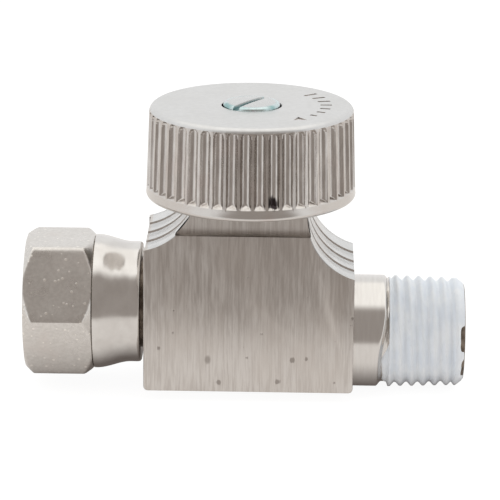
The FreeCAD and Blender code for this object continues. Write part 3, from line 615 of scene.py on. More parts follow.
def block_section(low_inset, high_inset, top, line_deep):
    """The block's outline in X and Z, once round. It ends at the ledge or goes on to the neck's top."""
    flat = top <= LEDGE_Z
    ledge = LEDGE_Z - (low_inset if flat else 0)
    half = BLOCK_HALF - low_inset
    foot_z = low_inset + FOOT_ROUND
    foot = arc((FOOT_ROUND - half, foot_z), FOOT_ROUND, math.pi, 1.5 * math.pi, FOOT_STEPS)
    foot += arc((half - FOOT_ROUND, foot_z), FOOT_ROUND, 1.5 * math.pi, 2 * math.pi, FOOT_STEPS)
    radius = SCOOP_R + low_inset + line_deep
    right_side = math.pi + angle_at_side(SCOOP_RIGHT, radius, half)
    right_ledge = math.pi + angle_at_height(SCOOP_RIGHT, radius, ledge)
    left_ledge = -angle_at_height(SCOOP_LEFT, radius, ledge)
    left_side = -angle_at_side(SCOOP_LEFT, radius, half)
    right_scoop = arc(SCOOP_RIGHT, radius, right_side, right_ledge, ARC_STEPS)
    left_scoop = arc(SCOOP_LEFT, radius, left_ledge, left_side, ARC_STEPS)
    if flat:
        upper = ledge_outline(right_scoop[-1][0], left_scoop[0][0], ledge)
    else:
        upper = neck_outline(SCOOP_R + high_inset + line_deep, ledge, top)
        # Twice the last point: the left side then leans in by a sixth of a millimetre between the ledges.
        upper.append(upper[-1])
    return foot + right_scoop + upper + left_scoop


print("points in a section through the ledge:", len(block_section(0, 0, LEDGE_Z, 0)))

# %% [markdown]
# Now the sections are set one behind the other. At the faces three close sections make the small bevel. At
# each line between two of the cutter's passes the scoop gets deeper and springs back.

# %% Block
NECK_BACK = 1.15
NECK_EDGE = 0.05
EDGE = 0.15
LINE_AT = 0.18
LINE_RUN = 0.95
LINE_DEEP = 0.36
LINE_RISE = 0.02
LINE_FAR, LINE_NEAR = 0.16, 0.10
WELD = 1e-4


def block_stations():
    """Sections from front to back: (y, inset below the ledge, inset above it, top, depth of the line)."""
    neck = BLOCK_DEEP - NECK_BACK
    soft = ((0.0, 1.0), (0.3, 0.3), (1.0, 0.0))
    front = [(-BLOCK_DEEP + EDGE * a, EDGE * b, 0, LEDGE_Z, 0) for a, b in soft]
    front.append((-neck, 0, 0, LEDGE_Z, 0))
    front += [(-neck + NECK_EDGE * a, 0, NECK_EDGE * b, NECK_TOP, 0) for a, b in soft]
    lines = []
    for middle in (-BLOCK_DEEP / 2, 0, BLOCK_DEEP / 2):
        wall = middle + LINE_AT
        steps = ((LINE_RUN, 0), (LINE_FAR, LINE_DEEP), (LINE_NEAR, LINE_DEEP - LINE_RISE), (0, 0))
        lines += [(wall - before, 0, 0, NECK_TOP, deep) for before, deep in steps]
    back = [(-station[0], *station[1:]) for station in reversed(front)]
    return front + lines + back


def draw_block():
    bm = bmesh.new()
    rows = []
    for y, low_inset, high_inset, top, deep in block_stations():
        outline = block_section(low_inset, high_inset, top, deep)
        rows.append([bm.verts.new((x, y, z)) for x, z in outline])
    count = len(rows[0])
    for near, far in zip(rows, rows[1:]):
        for i in range(count):
            j = (i + 1) % count
            bm.faces.new((near[i], near[j], far[j], far[i]))
    bm.faces.new(rows[0])
    bm.faces.new(rows[-1])
    bmesh.ops.remove_doubles(bm, verts=bm.verts, dist=WELD)
    bmesh.ops.dissolve_degenerate(bm, edges=bm.edges, dist=WELD)
    bmesh.ops.recalc_face_normals(bm, faces=bm.faces)
    return bm


block_bm = draw_block()
print("block:", len(block_bm.faces), "faces, open edges:", sum(e.is_boundary for e in block_bm.edges))

# %% [markdown]
# ## The outlet
# The outlet is turned from the same bar: a plain stub with a worn chamfer, and a taper thread. Four things
# limit its radius, the stub, the thread's crests, the run-in and the chamfer at the end face, so its outside
# is the smallest of them, less the groove. The rows are close set in the thread, so that the helix has at
# least a dozen of them in each turn.

# %% Outlet
STUB_END = BLOCK_HALF + 4.1
PITCH = 25.4 / 18
THREAD_DEPTH = 0.80
TAPER = 1 / 32
CREST_UNDER = 0.1
CREST_TOP = 18.03
FADE_FROM, FADE_TO = 1.5, 1.0
STUB_CHAMFER_DEEP = 0.6
STUB_CHAMFER_LONG = 0.62
STUB_EDGE_TOP = 16.50
STUB_EDGE_LOW = 15.65
RUN_IN_SLOPE = 2.6
END_CHAMFER = 1.05
END_SLOPE = 0.75
OUTLET_BORE = 3.2


def thread_phase(along, angle):
    """Turns along the outlet's right-hand thread, 0 on a crest."""
    return (along - CREST_TOP) / PITCH - (angle - math.pi / 2) / (2 * math.pi)


def thread_share(along):
    """The thread runs in over its first half turn and fades before the end face."""
    fade = ease(along, OUTLET_END - FADE_FROM, OUTLET_END - FADE_TO)
    return ease(along, STUB_END + 0.1, STUB_END + 0.7) * (1 - fade)


def stub_edge(angle):
    """Where the plain stub ends: the run-in of the thread bites further into it below the front."""
    begins = ease(angle, math.radians(140), math.radians(197))
    ends = ease(angle, math.radians(285), math.radians(350))
    return STUB_EDGE_TOP + (STUB_EDGE_LOW - STUB_EDGE_TOP) * begins * (1 - ends)


def metal_radius(along, angle):
    """The outlet's outside: plain stub, its worn chamfer, the thread and the chamfer at the end face."""
    past_edge = along - stub_edge(angle)
    chamfer = PIPE_R - STUB_CHAMFER_DEEP * ease(past_edge, -0.05, STUB_CHAMFER_LONG)
    crest = PIPE_R - CREST_UNDER - (along - STUB_END) * TAPER
    run_in = chamfer + max(along - STUB_END - 0.1, 0) * RUN_IN_SLOPE
    at_end = PIPE_R - END_CHAMFER + (OUTLET_END - along) * END_SLOPE
    outside = min(crest, run_in, at_end) if along > STUB_END else chamfer
    return outside - THREAD_DEPTH * thread_share(along) * groove(thread_phase(along, angle))


def outlet_radius(along, radius, share, angle):
    """share 1 is the shaped outside, 0 a plain wall."""
    return metal_radius(along, angle) if share else radius


outlet_section = [(BLOCK_HALF - 1, 0, 0), (BLOCK_HALF - 1, PIPE_R, 0), (STUB_EDGE_LOW - 0.3, PIPE_R, 0)]
outlet_section += [(along, PIPE_R, 1) for along in stepped(STUB_EDGE_LOW - 0.1, OUTLET_END, PITCH / 14)]
outlet_section += [(OUTLET_END, OUTLET_BORE, 0), (OUTLET_END, 0, 0)]
outlet_bm = swept(outlet_section, even_angles(128), outlet_radius, "X", OUTLET_Z)
print("outlet:", len(outlet_bm.faces), "faces,", round((OUTLET_END - STUB_END) / PITCH, 1), "turns of thread")

# %% [markdown]
# ## Joining and boring
# The outlet is joined to the block, and the passages are cut through both, as they are on the real body. The
# boolean modifier does each step with its exact solver, and the result is kept as a plain mesh.

# %% One body
SEAT_R = 1.5
SEAT_Z = 9.5
CHAMBER_R = 4.0
CHAMBER_TOP = 13.6
FITTING_R = 5.02
NIPPLE_DEEP = 5.1
INLET_R = 2.6
INLET_OVERLAP = 0.4
OUTLET_OVERRUN = 0.7
MOUTH_BEVEL = 0.4
BORE_COLUMNS = 64


def cut_or_join(obj, bm, operation):
    """One exact boolean with a mesh that is used up."""
    tool = link_mesh("tool", bm)
    change = obj.modifiers.new("change", "BOOLEAN")
    change.operation = operation
    change.solver = "EXACT"
    change.object = tool
    graph = bpy.context.evaluated_depsgraph_get()
    made = bpy.data.meshes.new_from_object(obj.evaluated_get(graph))
    obj.modifiers.clear()
    obj.data = made
    bpy.data.objects.remove(tool)


def bore(steps, axis, centre):
    """A stepped drill: each step is (radius, start, end) along the axis."""
    section = [(steps[0][1], 0, 0)]
    for radius, start, end in steps:
        section += [(start, radius, 0), (end, radius, 0)]
    section.append((steps[-1][2], 0, 0))
    return swept(section, even_angles(BORE_COLUMNS), None, axis, centre)


def stem_bore():
    steps = [(SEAT_R, OUTLET_Z, SEAT_Z), (CHAMBER_R, SEAT_Z, CHAMBER_TOP)]
    steps.append((FITTING_R, CHAMBER_TOP, NECK_TOP + 1))
    return bore(steps, "Z", 0)


def inlet_bore():
    bottom = -BLOCK_HALF + NIPPLE_DEEP
    steps = [(FITTING_R, -BLOCK_HALF - 1, bottom), (INLET_R, bottom, INLET_OVERLAP - CHAMBER_R)]
    return bore(steps, "X", INLET_Z)


def outlet_bore():
    bevel_from, bevel_to = OUTLET_END + 0.1 - MOUTH_BEVEL, OUTLET_END + 0.1
    steps = [(OUTLET_BORE, -SEAT_R - OUTLET_OVERRUN, bevel_from)]
    steps.append((OUTLET_BORE + MOUTH_BEVEL, bevel_to, bevel_to + 0.6))
    return bore(steps, "X", OUTLET_Z)


body = link_mesh("valve_body_finished", block_bm)
cut_or_join(body, outlet_bm, "UNION")
for drill in (stem_bore(), inlet_bore(), outlet_bore()):
    cut_or_join(body, drill, "DIFFERENCE")
print("body:", len(body.data.polygons), "faces")

# %% [markdown]
# Each face of the body takes the finish of the tool that made it. Painting them by hand would be lost with
# every change, so the finish is found from a face's place and direction: brushed on the flats, milled in the
# scoops, turned on the pipe and in the bores, and stained at the bare end of the thread.

# %% Finishes of the body
BODY_FINISHES = (brushed_nickel, milled_nickel, turned_nickel, stained_nickel)
BRUSHED, MILLED, TURNED, STAINED = range(4)
STAINED_LONG = 1.0
BORES_LOW, BORES_TOP = 0.3, 13.0
BORES_REACH = 5.5
CHAMBER_REACH = 5.2
SCOOPS_FROM = 14


def body_finish(face):
    x, y, z = (c / MM for c in face.center)
    off_outlet = math.hypot(y, z - OUTLET_Z)
    off_bores = min(math.hypot(y, z - INLET_Z), off_outlet)
    if x > OUTLET_END - STAINED_LONG and off_outlet > OUTLET_BORE + 1:
        return STAINED
    if x > BLOCK_HALF + 0.02:
        return TURNED
    if abs(x) < BLOCK_HALF - 0.1 and BORES_LOW < z < BORES_TOP and off_bores < BORES_REACH:
        return TURNED
    if math.hypot(x, y) < CHAMBER_REACH:
        return TURNED
    if z > SCOOPS_FROM and face.normal.z > 0.02 and abs(face.normal.x) > 0.25:
        return MILLED
    return BRUSHED


for material in BODY_FINISHES:
    body.data.materials.append(material)
for face in body.data.polygons:
    face.material_index = body_finish(face)
shade(body, 30)
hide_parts("valve_body")
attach(body, "housing")
print("body finishes:", [m.name for m in body.data.materials])

# %% [markdown]
# ## Sealing paste
# White paste was brushed on the male thread and dried. It fills the grooves partly, so the crests look
# round, it runs a little way over the stub's chamfer at the front, and it is rubbed off near the end face.
# A fluid simulation would be far too much for so thin a coat. It is a thin shell that follows the same
# thread, and where the paste is gone, the shell dips under the metal.

# %% Where the paste is
PASTE_T = 0.12
PASTE_FILL = 0.30
PASTE_UNDER = 0.10
FRONT = math.pi
PASTE_START = 0.26
RUN_OVER = 0.80
RUN_OVER_AT, RUN_OVER_HALF = FRONT + 0.62, 0.75
BARE_PATCHES = ((-0.14, 0.36, 0.85, 0.15), (0.55, 0.34, 0.60, 0.10))


def wave(along, angle, scale, seed):
    """Smooth noise on the pipe's surface, about -1 to 1."""
    place = (along * scale, math.cos(angle) * PIPE_R * scale, math.sin(angle) * PIPE_R * scale + seed)
    return noise.noise(Vector(place))


def paste_left(angle):
    """Where the paste begins, further out below the front."""
    low_front = near_angle(angle, RUN_OVER_AT, RUN_OVER_HALF)
    ragged = 0.22 * wave(0, angle, 0.55, 3.0) * (0.3 + low_front)
    return STUB_END + PASTE_START - RUN_OVER * low_front + ragged


def paste_bare(along, angle):
    """1 where the paste is rubbed off."""
    bare = 0
    for turned, half, start, full in BARE_PATCHES:
        bare += near_angle(angle, FRONT + turned, half) * ease(along, OUTLET_END - start, OUTLET_END - full)
    ragged = 1.0 + 0.5 * wave(along, angle, 0.9, 7.0)
    return min(bare * ragged * 1.6, 1)


def paste_radius(along, radius, share, angle):
    """share 1 is the paste's outside, 0 its hidden inside."""
    metal_r = metal_radius(along, angle)
    if share < 0.5:
        return metal_r - PASTE_UNDER - 0.05
    filling = PASTE_FILL * groove(thread_phase(along, angle)) * thread_share(along)
    lump = 0.045 * wave(along, angle, 0.45, 1.0) + 0.022 * wave(along, angle, 1.6, 5.0)
    smear = 0.10 * max(wave(along * 0.35, angle, 1.1, 11.0) - 0.18, 0) * near_angle(angle, FRONT + 0.15, 0.9)
    thick = filling + PASTE_T + lump + smear
    start = paste_left(angle)
    cover = ease(along, start - 0.10, start + 0.14) * (1 - paste_bare(along, angle))
    cover *= 1 - ease(along, OUTLET_END - 0.14, OUTLET_END - 0.02)
    return metal_r - PASTE_UNDER + (thick + PASTE_UNDER) * cover


paste_rows = stepped(STUB_END - 1.0, OUTLET_END - 0.01, PITCH / 16)
paste_section = [(along, PIPE_R, 1) for along in paste_rows]
paste_section += [(along, PIPE_R, 0) for along in reversed(paste_rows[::3])]
paste_bm = swept(paste_section, even_angles(160), paste_radius, "X", OUTLET_Z, True)
print("paste:", len(paste_bm.faces), "faces, at most", PASTE_T + PASTE_FILL, "mm thick without lumps")

# %% [markdown]
# Dried paste is a matt white that looks faintly blue beside warm metal. It isn't a metal, so the same end of
# a finish is used with metallic at 0.

# %% Dried paste
PASTE_SHADE, PASTE_WHITE = (0.825, 0.885, 0.955), (0.90, 0.945, 0.99)
PASTE_DUST = (0.72, 0.77, 0.81)


def dried_paste():
    material, tree, place = start_material("dried_paste")
    cloud = stretched_noise(tree, place, (500, 350, 350), detail=3.0)
    fine = stretched_noise(tree, place, (3200, 1800, 1800), detail=4.0)
    colour = blend_colours(tree, blend_numbers(tree, cloud, 0.35, 0.65, 0, 1), PASTE_SHADE, PASTE_WHITE)
    colour = blend_colours(tree, blend_numbers(tree, fine, 0.5, 0.8, 0, 0.3), colour, PASTE_DUST)
    roughness = blend_numbers(tree, cloud, 0.3, 0.7, 0.30, 0.5)
    end_material(tree, colour, roughness, fine, metallic=0.0, depth=0.03, strength=0.35, IOR=1.45)
    return material


paste = link_mesh("sealing_paste", paste_bm, [dried_paste()])
shade(paste, 60)
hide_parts("thread_sealant")
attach(paste, "housing")
print("finished", paste.name)

# %% [markdown]
# ## Inlet nut
# The nut is a hexagon with both ends chamfered, and a thin round neck that was rolled in over the nipple
# inside, so it turns but can't come off. A six-sided cylinder cut with a cone would do, but its edges would
# be too sharp. A hexagon is only another radius that depends on the angle, so the lathe helper draws it too,
# and a soft minimum between hexagon and chamfer rounds the edges as plating does.

# %% Nut's radius
NUT_MOUTH = nut_low.x
NUT_END = nut_high.x
HEX_FLAT = (nut_high.z - nut_low.z) / 2
HEX_CORNER = HEX_FLAT / math.cos(math.pi / 6)
HEX_LEN = 8.25
NUT_CHAMFER = 1.15
CORNER_WORN, CORNER_SOFT = 0.12, 0.2
CHAMFER_SOFT = 0.14
UNEVEN = 0.012
RIPPLE = 0.02
NECK_R = 8.1
NUT_THREAD_CUT = 0.55
NECK_DENT = 0.02
NECK_DENT_AT, NECK_DENT_HALF = FRONT - 0.72, 0.42
NECK_DENT_STARTS, NECK_DENT_ENDS = (2.7, 3.3), (4.1, 4.7)


def nut_angles():
    """Angles round the nut, close together at the six corners."""
    half = [math.radians(s) for s in (0, 0.3, 0.6, 1.0, 1.6, 2.6, 4.5, 8, 12, 16, 20, 25)]
    angles = []
    for corner in range(6):
        middle = corner * math.pi / 3 + math.pi / 3
        angles += [middle - h for h in reversed(half[1:])] + [middle + h for h in half]
        angles.append(middle + math.radians(30))
    return [a % (2 * math.pi) for a in angles]


def hexagon_radius(along, angle):
    """The hexagon with worn corners, cut by the cones at both of its ends."""
    cone = HEX_CORNER - NUT_CHAMFER + max(min(along - NUT_MOUTH, NUT_MOUTH + HEX_LEN - along), 0)
    from_flat = (angle - math.pi / 2 + math.pi / 6) % (math.pi / 3) - math.pi / 6
    hexagon = soft_min(HEX_FLAT / math.cos(from_flat), HEX_CORNER - CORNER_WORN, CORNER_SOFT)
    uneven = UNEVEN * noise.noise(Vector((along * 0.5, 3 * math.cos(angle), 3 * math.sin(angle))))
    return max(soft_min(hexagon, cone, CHAMFER_SOFT) + uneven, NECK_R * 0.9)


def neck_radius(along, radius, angle):
    """The rolled neck, slightly rippled, with one shallow dent."""
    back = NUT_END - along
    dent = near_angle(angle, NECK_DENT_AT, NECK_DENT_HALF)
    dent *= (1 - ease(back, *NECK_DENT_ENDS)) * ease(back, *NECK_DENT_STARTS)
    ripple = RIPPLE * noise.noise(Vector((along * 0.35, 2.2 * math.cos(angle), 2.2 * math.sin(angle) + 9)))
    return radius - NECK_DENT * dent + ripple


def nut_radius(along, radius, share, angle):
    """share 1 is the hexagon, 2 the neck, 3 the inner thread, 0 a plain wall."""
    if share == 1:
        return hexagon_radius(along, angle)
    if share == 2:
        return neck_radius(along, radius, angle)
    if share == 3:
        return radius + NUT_THREAD_CUT * groove(along / PITCH - angle / (2 * math.pi))
    return radius


print("nut:", round(2 * HEX_FLAT, 1), "across its flats,", len(nut_angles()), "columns")

# %% [markdown]
# The nut's section runs along the outside to the lip, round it, and back through the bore and the thread.
# Rows are close where the shape curves and far apart where it is straight, to save faces.

# %% Nut
LIP_R = 7.4
LIP_LEN = 2.4
LIP_BORE = 5.65
LIP_DEEP = 3.1
LIP_ROUND = 0.35
CAVITY_R = 6.75
NUT_THREAD_R = 6.05
NUT_THREAD_LEN = 5.8
MOUTH_DEEP = 0.6
NECK_PROUD = 0.12
CHAMFER_LONG, FLAT_FROM = 1.6, 2.2


def nut_outside():
    rows = [(NUT_MOUTH, NUT_THREAD_R + MOUTH_DEEP, 0), (NUT_MOUTH, 7.4, 0)]
    hexagon = stepped(0, CHAMFER_LONG, 0.13) + stepped(FLAT_FROM, HEX_LEN - FLAT_FROM, 0.9)
    hexagon += stepped(HEX_LEN - CHAMFER_LONG, HEX_LEN, 0.13)
    rows += [(NUT_MOUTH + d, NECK_R, 1) for d in hexagon]
    neck_start = NUT_MOUTH + HEX_LEN
    rows.append((neck_start + 0.02, NECK_R - NECK_PROUD, 2))
    neck = NECK_R + NECK_PROUD
    for x in stepped(neck_start + 0.15, NUT_END - 0.5, 0.18):
        rolled = ease(x, neck_start + 0.4, NUT_END - LIP_LEN + 1.1)
        rows.append((x, neck - (neck - LIP_R) * rolled, 2))
    for a in (0.4, 0.8, 1.2, 1.57):
        x = NUT_END - LIP_ROUND + LIP_ROUND * math.sin(a)
        rows.append((x, LIP_R - LIP_ROUND + LIP_ROUND * math.cos(a), 2))
    return rows


def nut_inside():
    lip = NUT_END - LIP_DEEP
    thread_start = NUT_MOUTH + MOUTH_DEEP
    thread_end = thread_start + NUT_THREAD_LEN
    rows = [(NUT_END, LIP_BORE, 0), (lip, LIP_BORE, 0), (lip, CAVITY_R, 0), (thread_end, CAVITY_R, 0)]
    rows.append((thread_end, NUT_THREAD_R + 0.3, 0))
    thread = reversed(stepped(thread_start, thread_end - 0.1, PITCH / 12))
    return rows + [(x, NUT_THREAD_R, 3) for x in thread]


nut_bm = swept(nut_outside() + nut_inside(), nut_angles(), nut_radius, "X", INLET_Z, True)
print("nut:", len(nut_bm.faces), "faces")

# %% [markdown]
# The hexagon was left as it came from the bar, so its plate is dull with raised specks, painted lighter as
# glints. The neck was rolled smooth. So the nut has two finishes, split where the hexagon ends.

# %% Nut's finishes
HEX_DARK, HEX_LIGHT = (0.62, 0.595, 0.565), (0.685, 0.66, 0.63)
HEX_WARM = (0.67, 0.62, 0.585)
SPECK_GLINT = (0.90, 0.86, 0.80)
SPECKS_PER_METRE = 1500.0
SPECK_HEIGHT = 4.0
ROLLED_DARK, ROLLED_LIGHT = (0.63, 0.605, 0.58), (0.70, 0.68, 0.655)
INNER_REACH = 7.0


def speckled_plate():
    """Dull plate with raised specks in random cells of a Voronoi texture, painted lighter as glints."""
    material, tree, place = start_material("speckled_nickel")
    fine = stretched_noise(tree, place, (2400, 2400, 2400), detail=4.0)
    wide = stretched_noise(tree, place, (260, 260, 260), detail=2.0)
    colour = blend_colours(tree, blend_numbers(tree, fine, 0.35, 0.65, 0, 1), HEX_DARK, HEX_LIGHT)
    colour = blend_colours(tree, blend_numbers(tree, wide, 0.5, 0.75, 0, 0.5), colour, HEX_WARM)
    inputs = {"Vector": place, "Scale": SPECKS_PER_METRE}
    cells = add_node(tree, "ShaderNodeTexVoronoi", inputs).outputs
    picked = add_node(tree, "ShaderNodeSeparateColor", {"Color": cells["Color"]}).outputs["Green"]
    size = blend_numbers(tree, picked, 0.2, 1.0, 0.08, 0.34, smooth=False)
    speck_glint = blend_numbers(tree, maths(tree, "SUBTRACT", size, cells["Distance"]), 0.0, 0.1, 0, 0.7)
    # Painted glint: the specks' colour is lighter, while their bump is real.
    colour = blend_colours(tree, speck_glint, colour, SPECK_GLINT)
    heights = maths(tree, "ADD", fine, maths(tree, "MULTIPLY", speck_glint, SPECK_HEIGHT))
    roughness = blend_numbers(tree, wide, 0.3, 0.7, 0.26, 0.36)
    end_material(tree, colour, roughness, heights, depth=0.012, strength=0.35)
    return material


rolled_nickel = metal("rolled_nickel", ROLLED_DARK, ROLLED_LIGHT, (500, 420, 420), (0.13, 0.19), 0.008)
nut = link_mesh("inlet_nut_finished", nut_bm, [speckled_plate(), rolled_nickel])
for face in nut.data.polygons:
    x, y, z = (c / MM for c in face.center)
    inner = math.hypot(y, z - INLET_Z) < INNER_REACH
    face.material_index = 1 if inner or x > NUT_MOUTH + HEX_LEN else 0
shade(nut, 34)
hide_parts("swivel_nut")
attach(nut, "inlet_nut")
print("nut finishes:", [m.name for m in nut.data.materials])

# %% [markdown]
# ## Knob
# The knob is a thin cap with forty-seven flutes and a plain rim. Cutting so many flutes with booleans would
# be slow and would leave long thin faces. All flutes are alike, so only one sector is drawn, with the whole
# section of the knob. A flute is a round valley whose foot slopes out to the rim and whose top is an arch.

# %% One flute
FLUTES = 47
FLUTE_TURN = math.radians(-1.9)
FLUTE_R = 0.66
FLUTE_DEPTH = 0.57
FLUTE_RAMP = 0.50
FLUTE_SOFT = 0.09
FLUTE_TOP = 0.55
FLUTE_ARCH = 0.62
FLUTE_WALL = 0.15
RIM_R = knob_high.x
RIM_TALL = 1.4
KNOB_TALL = knob_high.z - knob_low.z
TOP_R = RIM_R - 0.4


def side_radius(z):
    """The knob's outside before its edges are rounded."""
    return RIM_R + (TOP_R - RIM_R) * z / KNOB_TALL


def knob_outside(angle, r, z):
    """The radius of a point of the outside at an angle from the middle of a flute."""
    if z < RIM_TALL - 0.01:
        return r
    side = side_radius(z)
    middle = side - FLUTE_DEPTH + FLUTE_R
    reach = FLUTE_R**2 - (middle * math.sin(angle)) ** 2
    if reach <= 0:
        return r
    valley = middle * math.cos(angle) - math.sqrt(reach)
    ramp = side - FLUTE_DEPTH * (z - RIM_TALL) / FLUTE_RAMP
    across = min(abs(side * math.sin(angle)) / FLUTE_ARCH, 1)
    arch_top = KNOB_TALL - FLUTE_TOP - FLUTE_ARCH * (1 - math.sqrt(1 - across**2))
    wall = valley + (side - valley) * ease(z, arch_top - FLUTE_WALL, arch_top)
    return soft_min(r, max(valley, ramp, wall), FLUTE_SOFT)


print(FLUTES, "flutes,", round(2 * math.pi * RIM_R / FLUTES, 2), "mm apart at the rim")

# %% [markdown]
# The knob's section goes from the recess for the screw over the top, down the fluted side, round the rim, and
# up inside to the hub. Each point says whether it lies on the fluted outside.

# %% Knob's section
TOP_ROUND = 0.8
RIM_ROUND = 0.45
KNOB_WALL = 1.85
TOP_T = 1.65
HUB_R = 5.0
HUB_FOOT = 29.9
HUB_LOW = HUB_FOOT - knob_low.z
HUB_BEVEL = 0.1
INNER_ROUND = 0.2
RECESS_R = 3.63
RECESS_BEVEL = 0.08
RECESS_LOW = washer_low.z - knob_low.z
HOLE_R = 1.65


def knob_top():
    points = [(HOLE_R, HUB_LOW), (HOLE_R, RECESS_LOW), (RECESS_R, RECESS_LOW)]
    points += [(RECESS_R, KNOB_TALL - RECESS_BEVEL), (RECESS_R + RECESS_BEVEL, KNOB_TALL)]
    points += [(r, KNOB_TALL) for r in stepped(5.5, TOP_R - TOP_ROUND - 0.05, 1.4)]
    return [(r, z, False) for r, z in points]


def knob_side():
    low, middle = KNOB_TALL - TOP_ROUND, side_radius(KNOB_TALL - TOP_ROUND) - TOP_ROUND
    points = []
    for degrees in stepped(90, 0, 9):
        a = math.radians(degrees)
        points.append((middle + TOP_ROUND * math.cos(a), low + TOP_ROUND * math.sin(a)))
    ramp = stepped(RIM_TALL, RIM_TALL + FLUTE_RAMP, 0.1)
    arch_low = KNOB_TALL - FLUTE_TOP - FLUTE_ARCH - FLUTE_WALL
    heights = stepped(low - 0.04, arch_low, 0.06)
    heights += stepped(arch_low - 0.2, RIM_TALL + FLUTE_RAMP + 0.25, 1.2) + list(reversed(ramp))
    heights += [RIM_TALL - 0.03, RIM_TALL - 0.3, RIM_ROUND + 0.1]
    points += [(side_radius(z), z) for z in heights]
    for degrees in stepped(0, 90, 18):
        a = math.radians(degrees)
        points.append((RIM_R - RIM_ROUND + RIM_ROUND * math.cos(a), RIM_ROUND - RIM_ROUND * math.sin(a)))
    return [(r, z, True) for r, z in points]


def knob_inside():
    inner, roof = RIM_R - KNOB_WALL, KNOB_TALL - TOP_T
    points = [(inner + 0.15, 0), (inner, 0.15), (inner, roof - INNER_ROUND), (inner - INNER_ROUND, roof)]
    points += [(HUB_R + INNER_ROUND, roof), (HUB_R, roof - INNER_ROUND)]
    points += [(HUB_R, HUB_LOW + HUB_BEVEL), (HUB_R - HUB_BEVEL, HUB_LOW)]
    return [(r, z, False) for r, z in points]


knob_profile = knob_top() + knob_side() + knob_inside()
print("points in the knob's section:", len(knob_profile))

# %% [markdown]
# The sector is one flute wide, and its two cut faces are left open, because they will meet their neighbours.
# Its columns are closest at the flute's edge, where the surface turns most.

# %% One sector
COLUMNS = (0, 0.2, 0.4, 0.575, 0.69, 0.76, 0.82, 0.9, 1.0)


def sector_mesh():
    half = math.pi / FLUTES
    angles = [-half * s for s in reversed(COLUMNS[1:])] + [half * s for s in COLUMNS]
    bm = bmesh.new()
    rows = []
    for r, z, fluted in knob_profile:
        row = []
        for angle in angles:
            radius = knob_outside(angle, r, z) if fluted else r
            place = angle - math.pi / 2
            row.append(bm.verts.new((radius * math.cos(place), radius * math.sin(place), z)))
        rows.append(row)
    for low, high in zip(rows, rows[1:] + rows[:1]):
        for i in range(len(angles) - 1):
            bm.faces.new((low[i], high[i], high[i + 1], low[i + 1]))
    bmesh.ops.translate(bm, vec=(0, 0, knob_low.z), verts=bm.verts)
    return bm


sector_bm = sector_mesh()
print("one sector:", len(sector_bm.faces), "faces")

# %% [markdown]
# The side is bright plate, slightly cloudy, and darkened by a painted shade, most in the flutes and less on
# the rim, so the rim is a little lighter. In one flute the plate has failed and left a dark patch. The top was
# blasted to a fine satin.

# %% Knob's finishes
FLUTE_SHADED_DARK, FLUTE_SHADED_LIGHT = (0.50, 0.465, 0.44), (0.63, 0.60, 0.57)
FLUTE_CLOUD = (0.55, 0.48, 0.45)
RIM_LESS_SHADED = (0.62, 0.595, 0.57)
SATIN_DARK, SATIN_LIGHT = (0.635, 0.635, 0.63), (0.675, 0.675, 0.67)
FLAW_COLOUR = (0.04, 0.032, 0.034)
FLAW_ANGLE = math.radians(13.4) - math.pi / 2
FLAW_R = 12.2
FLAW_UP = 2.1
FLAW_STRETCH = (1.15, 1.0, 0.62)
FLAW_RAGGED = 1.1
FLAW_INNER, FLAW_OUTER = 1.0, 1.3


def knob_side_finish():
    material, tree, place = start_material("knob_flutes")
    fine = stretched_noise(tree, place, (2600, 2600, 420), detail=4.0)
    wide = stretched_noise(tree, place, (330, 330, 200), detail=2.0)
    # Painted shade: the fluted side is coloured darker than the rim, which is darkened less.
    colour = blend_colours(tree, blend_numbers(tree, fine, 0.3, 0.7, 0, 1), FLUTE_SHADED_DARK, FLUTE_SHADED_LIGHT)
    rim_top = knob_low.z + RIM_TALL
    rim = blend_numbers(tree, axes_of(tree, place)["Z"], (rim_top - 0.1) * MM, (rim_top + 0.2) * MM, 1, 0)
    colour = blend_colours(tree, rim, colour, RIM_LESS_SHADED)
    colour = blend_colours(tree, blend_numbers(tree, wide, 0.5, 0.75, 0, 0.4), colour, FLUTE_CLOUD)
    spot = (math.cos(FLAW_ANGLE) * FLAW_R, math.sin(FLAW_ANGLE) * FLAW_R, knob_low.z + FLAW_UP)
    ragged = maths(tree, "MULTIPLY", fine, FLAW_RAGGED * MM)
    edge = maths(tree, "ADD", away_from(tree, place, spot, FLAW_STRETCH), ragged)
    flaw = blend_numbers(tree, edge, FLAW_INNER * MM, FLAW_OUTER * MM, 1, 0)
    colour = blend_colours(tree, flaw, colour, FLAW_COLOUR)
    roughness = blend_numbers(tree, wide, 0.3, 0.7, 0.15, 0.24)
    end_material(tree, colour, roughness, fine, depth=0.012, strength=0.25)
    return material


knob_flutes = knob_side_finish()
knob_satin = metal("knob_satin", SATIN_DARK, SATIN_LIGHT, (1500, 1500, 1500), (0.34, 0.42), 0.004)
print("knob finishes:", knob_flutes.name, knob_satin.name)

# %% [markdown]
# Geometry Nodes turn copies of the sector round the axis and weld them. An Array modifier needs a helper
# object to turn its copies, while here the number of flutes and their start angle are plain inputs. The
# sides get one finish, and everything above a height gets the other.

# %% Copies round an axis
WELD_COPIES = 2e-6


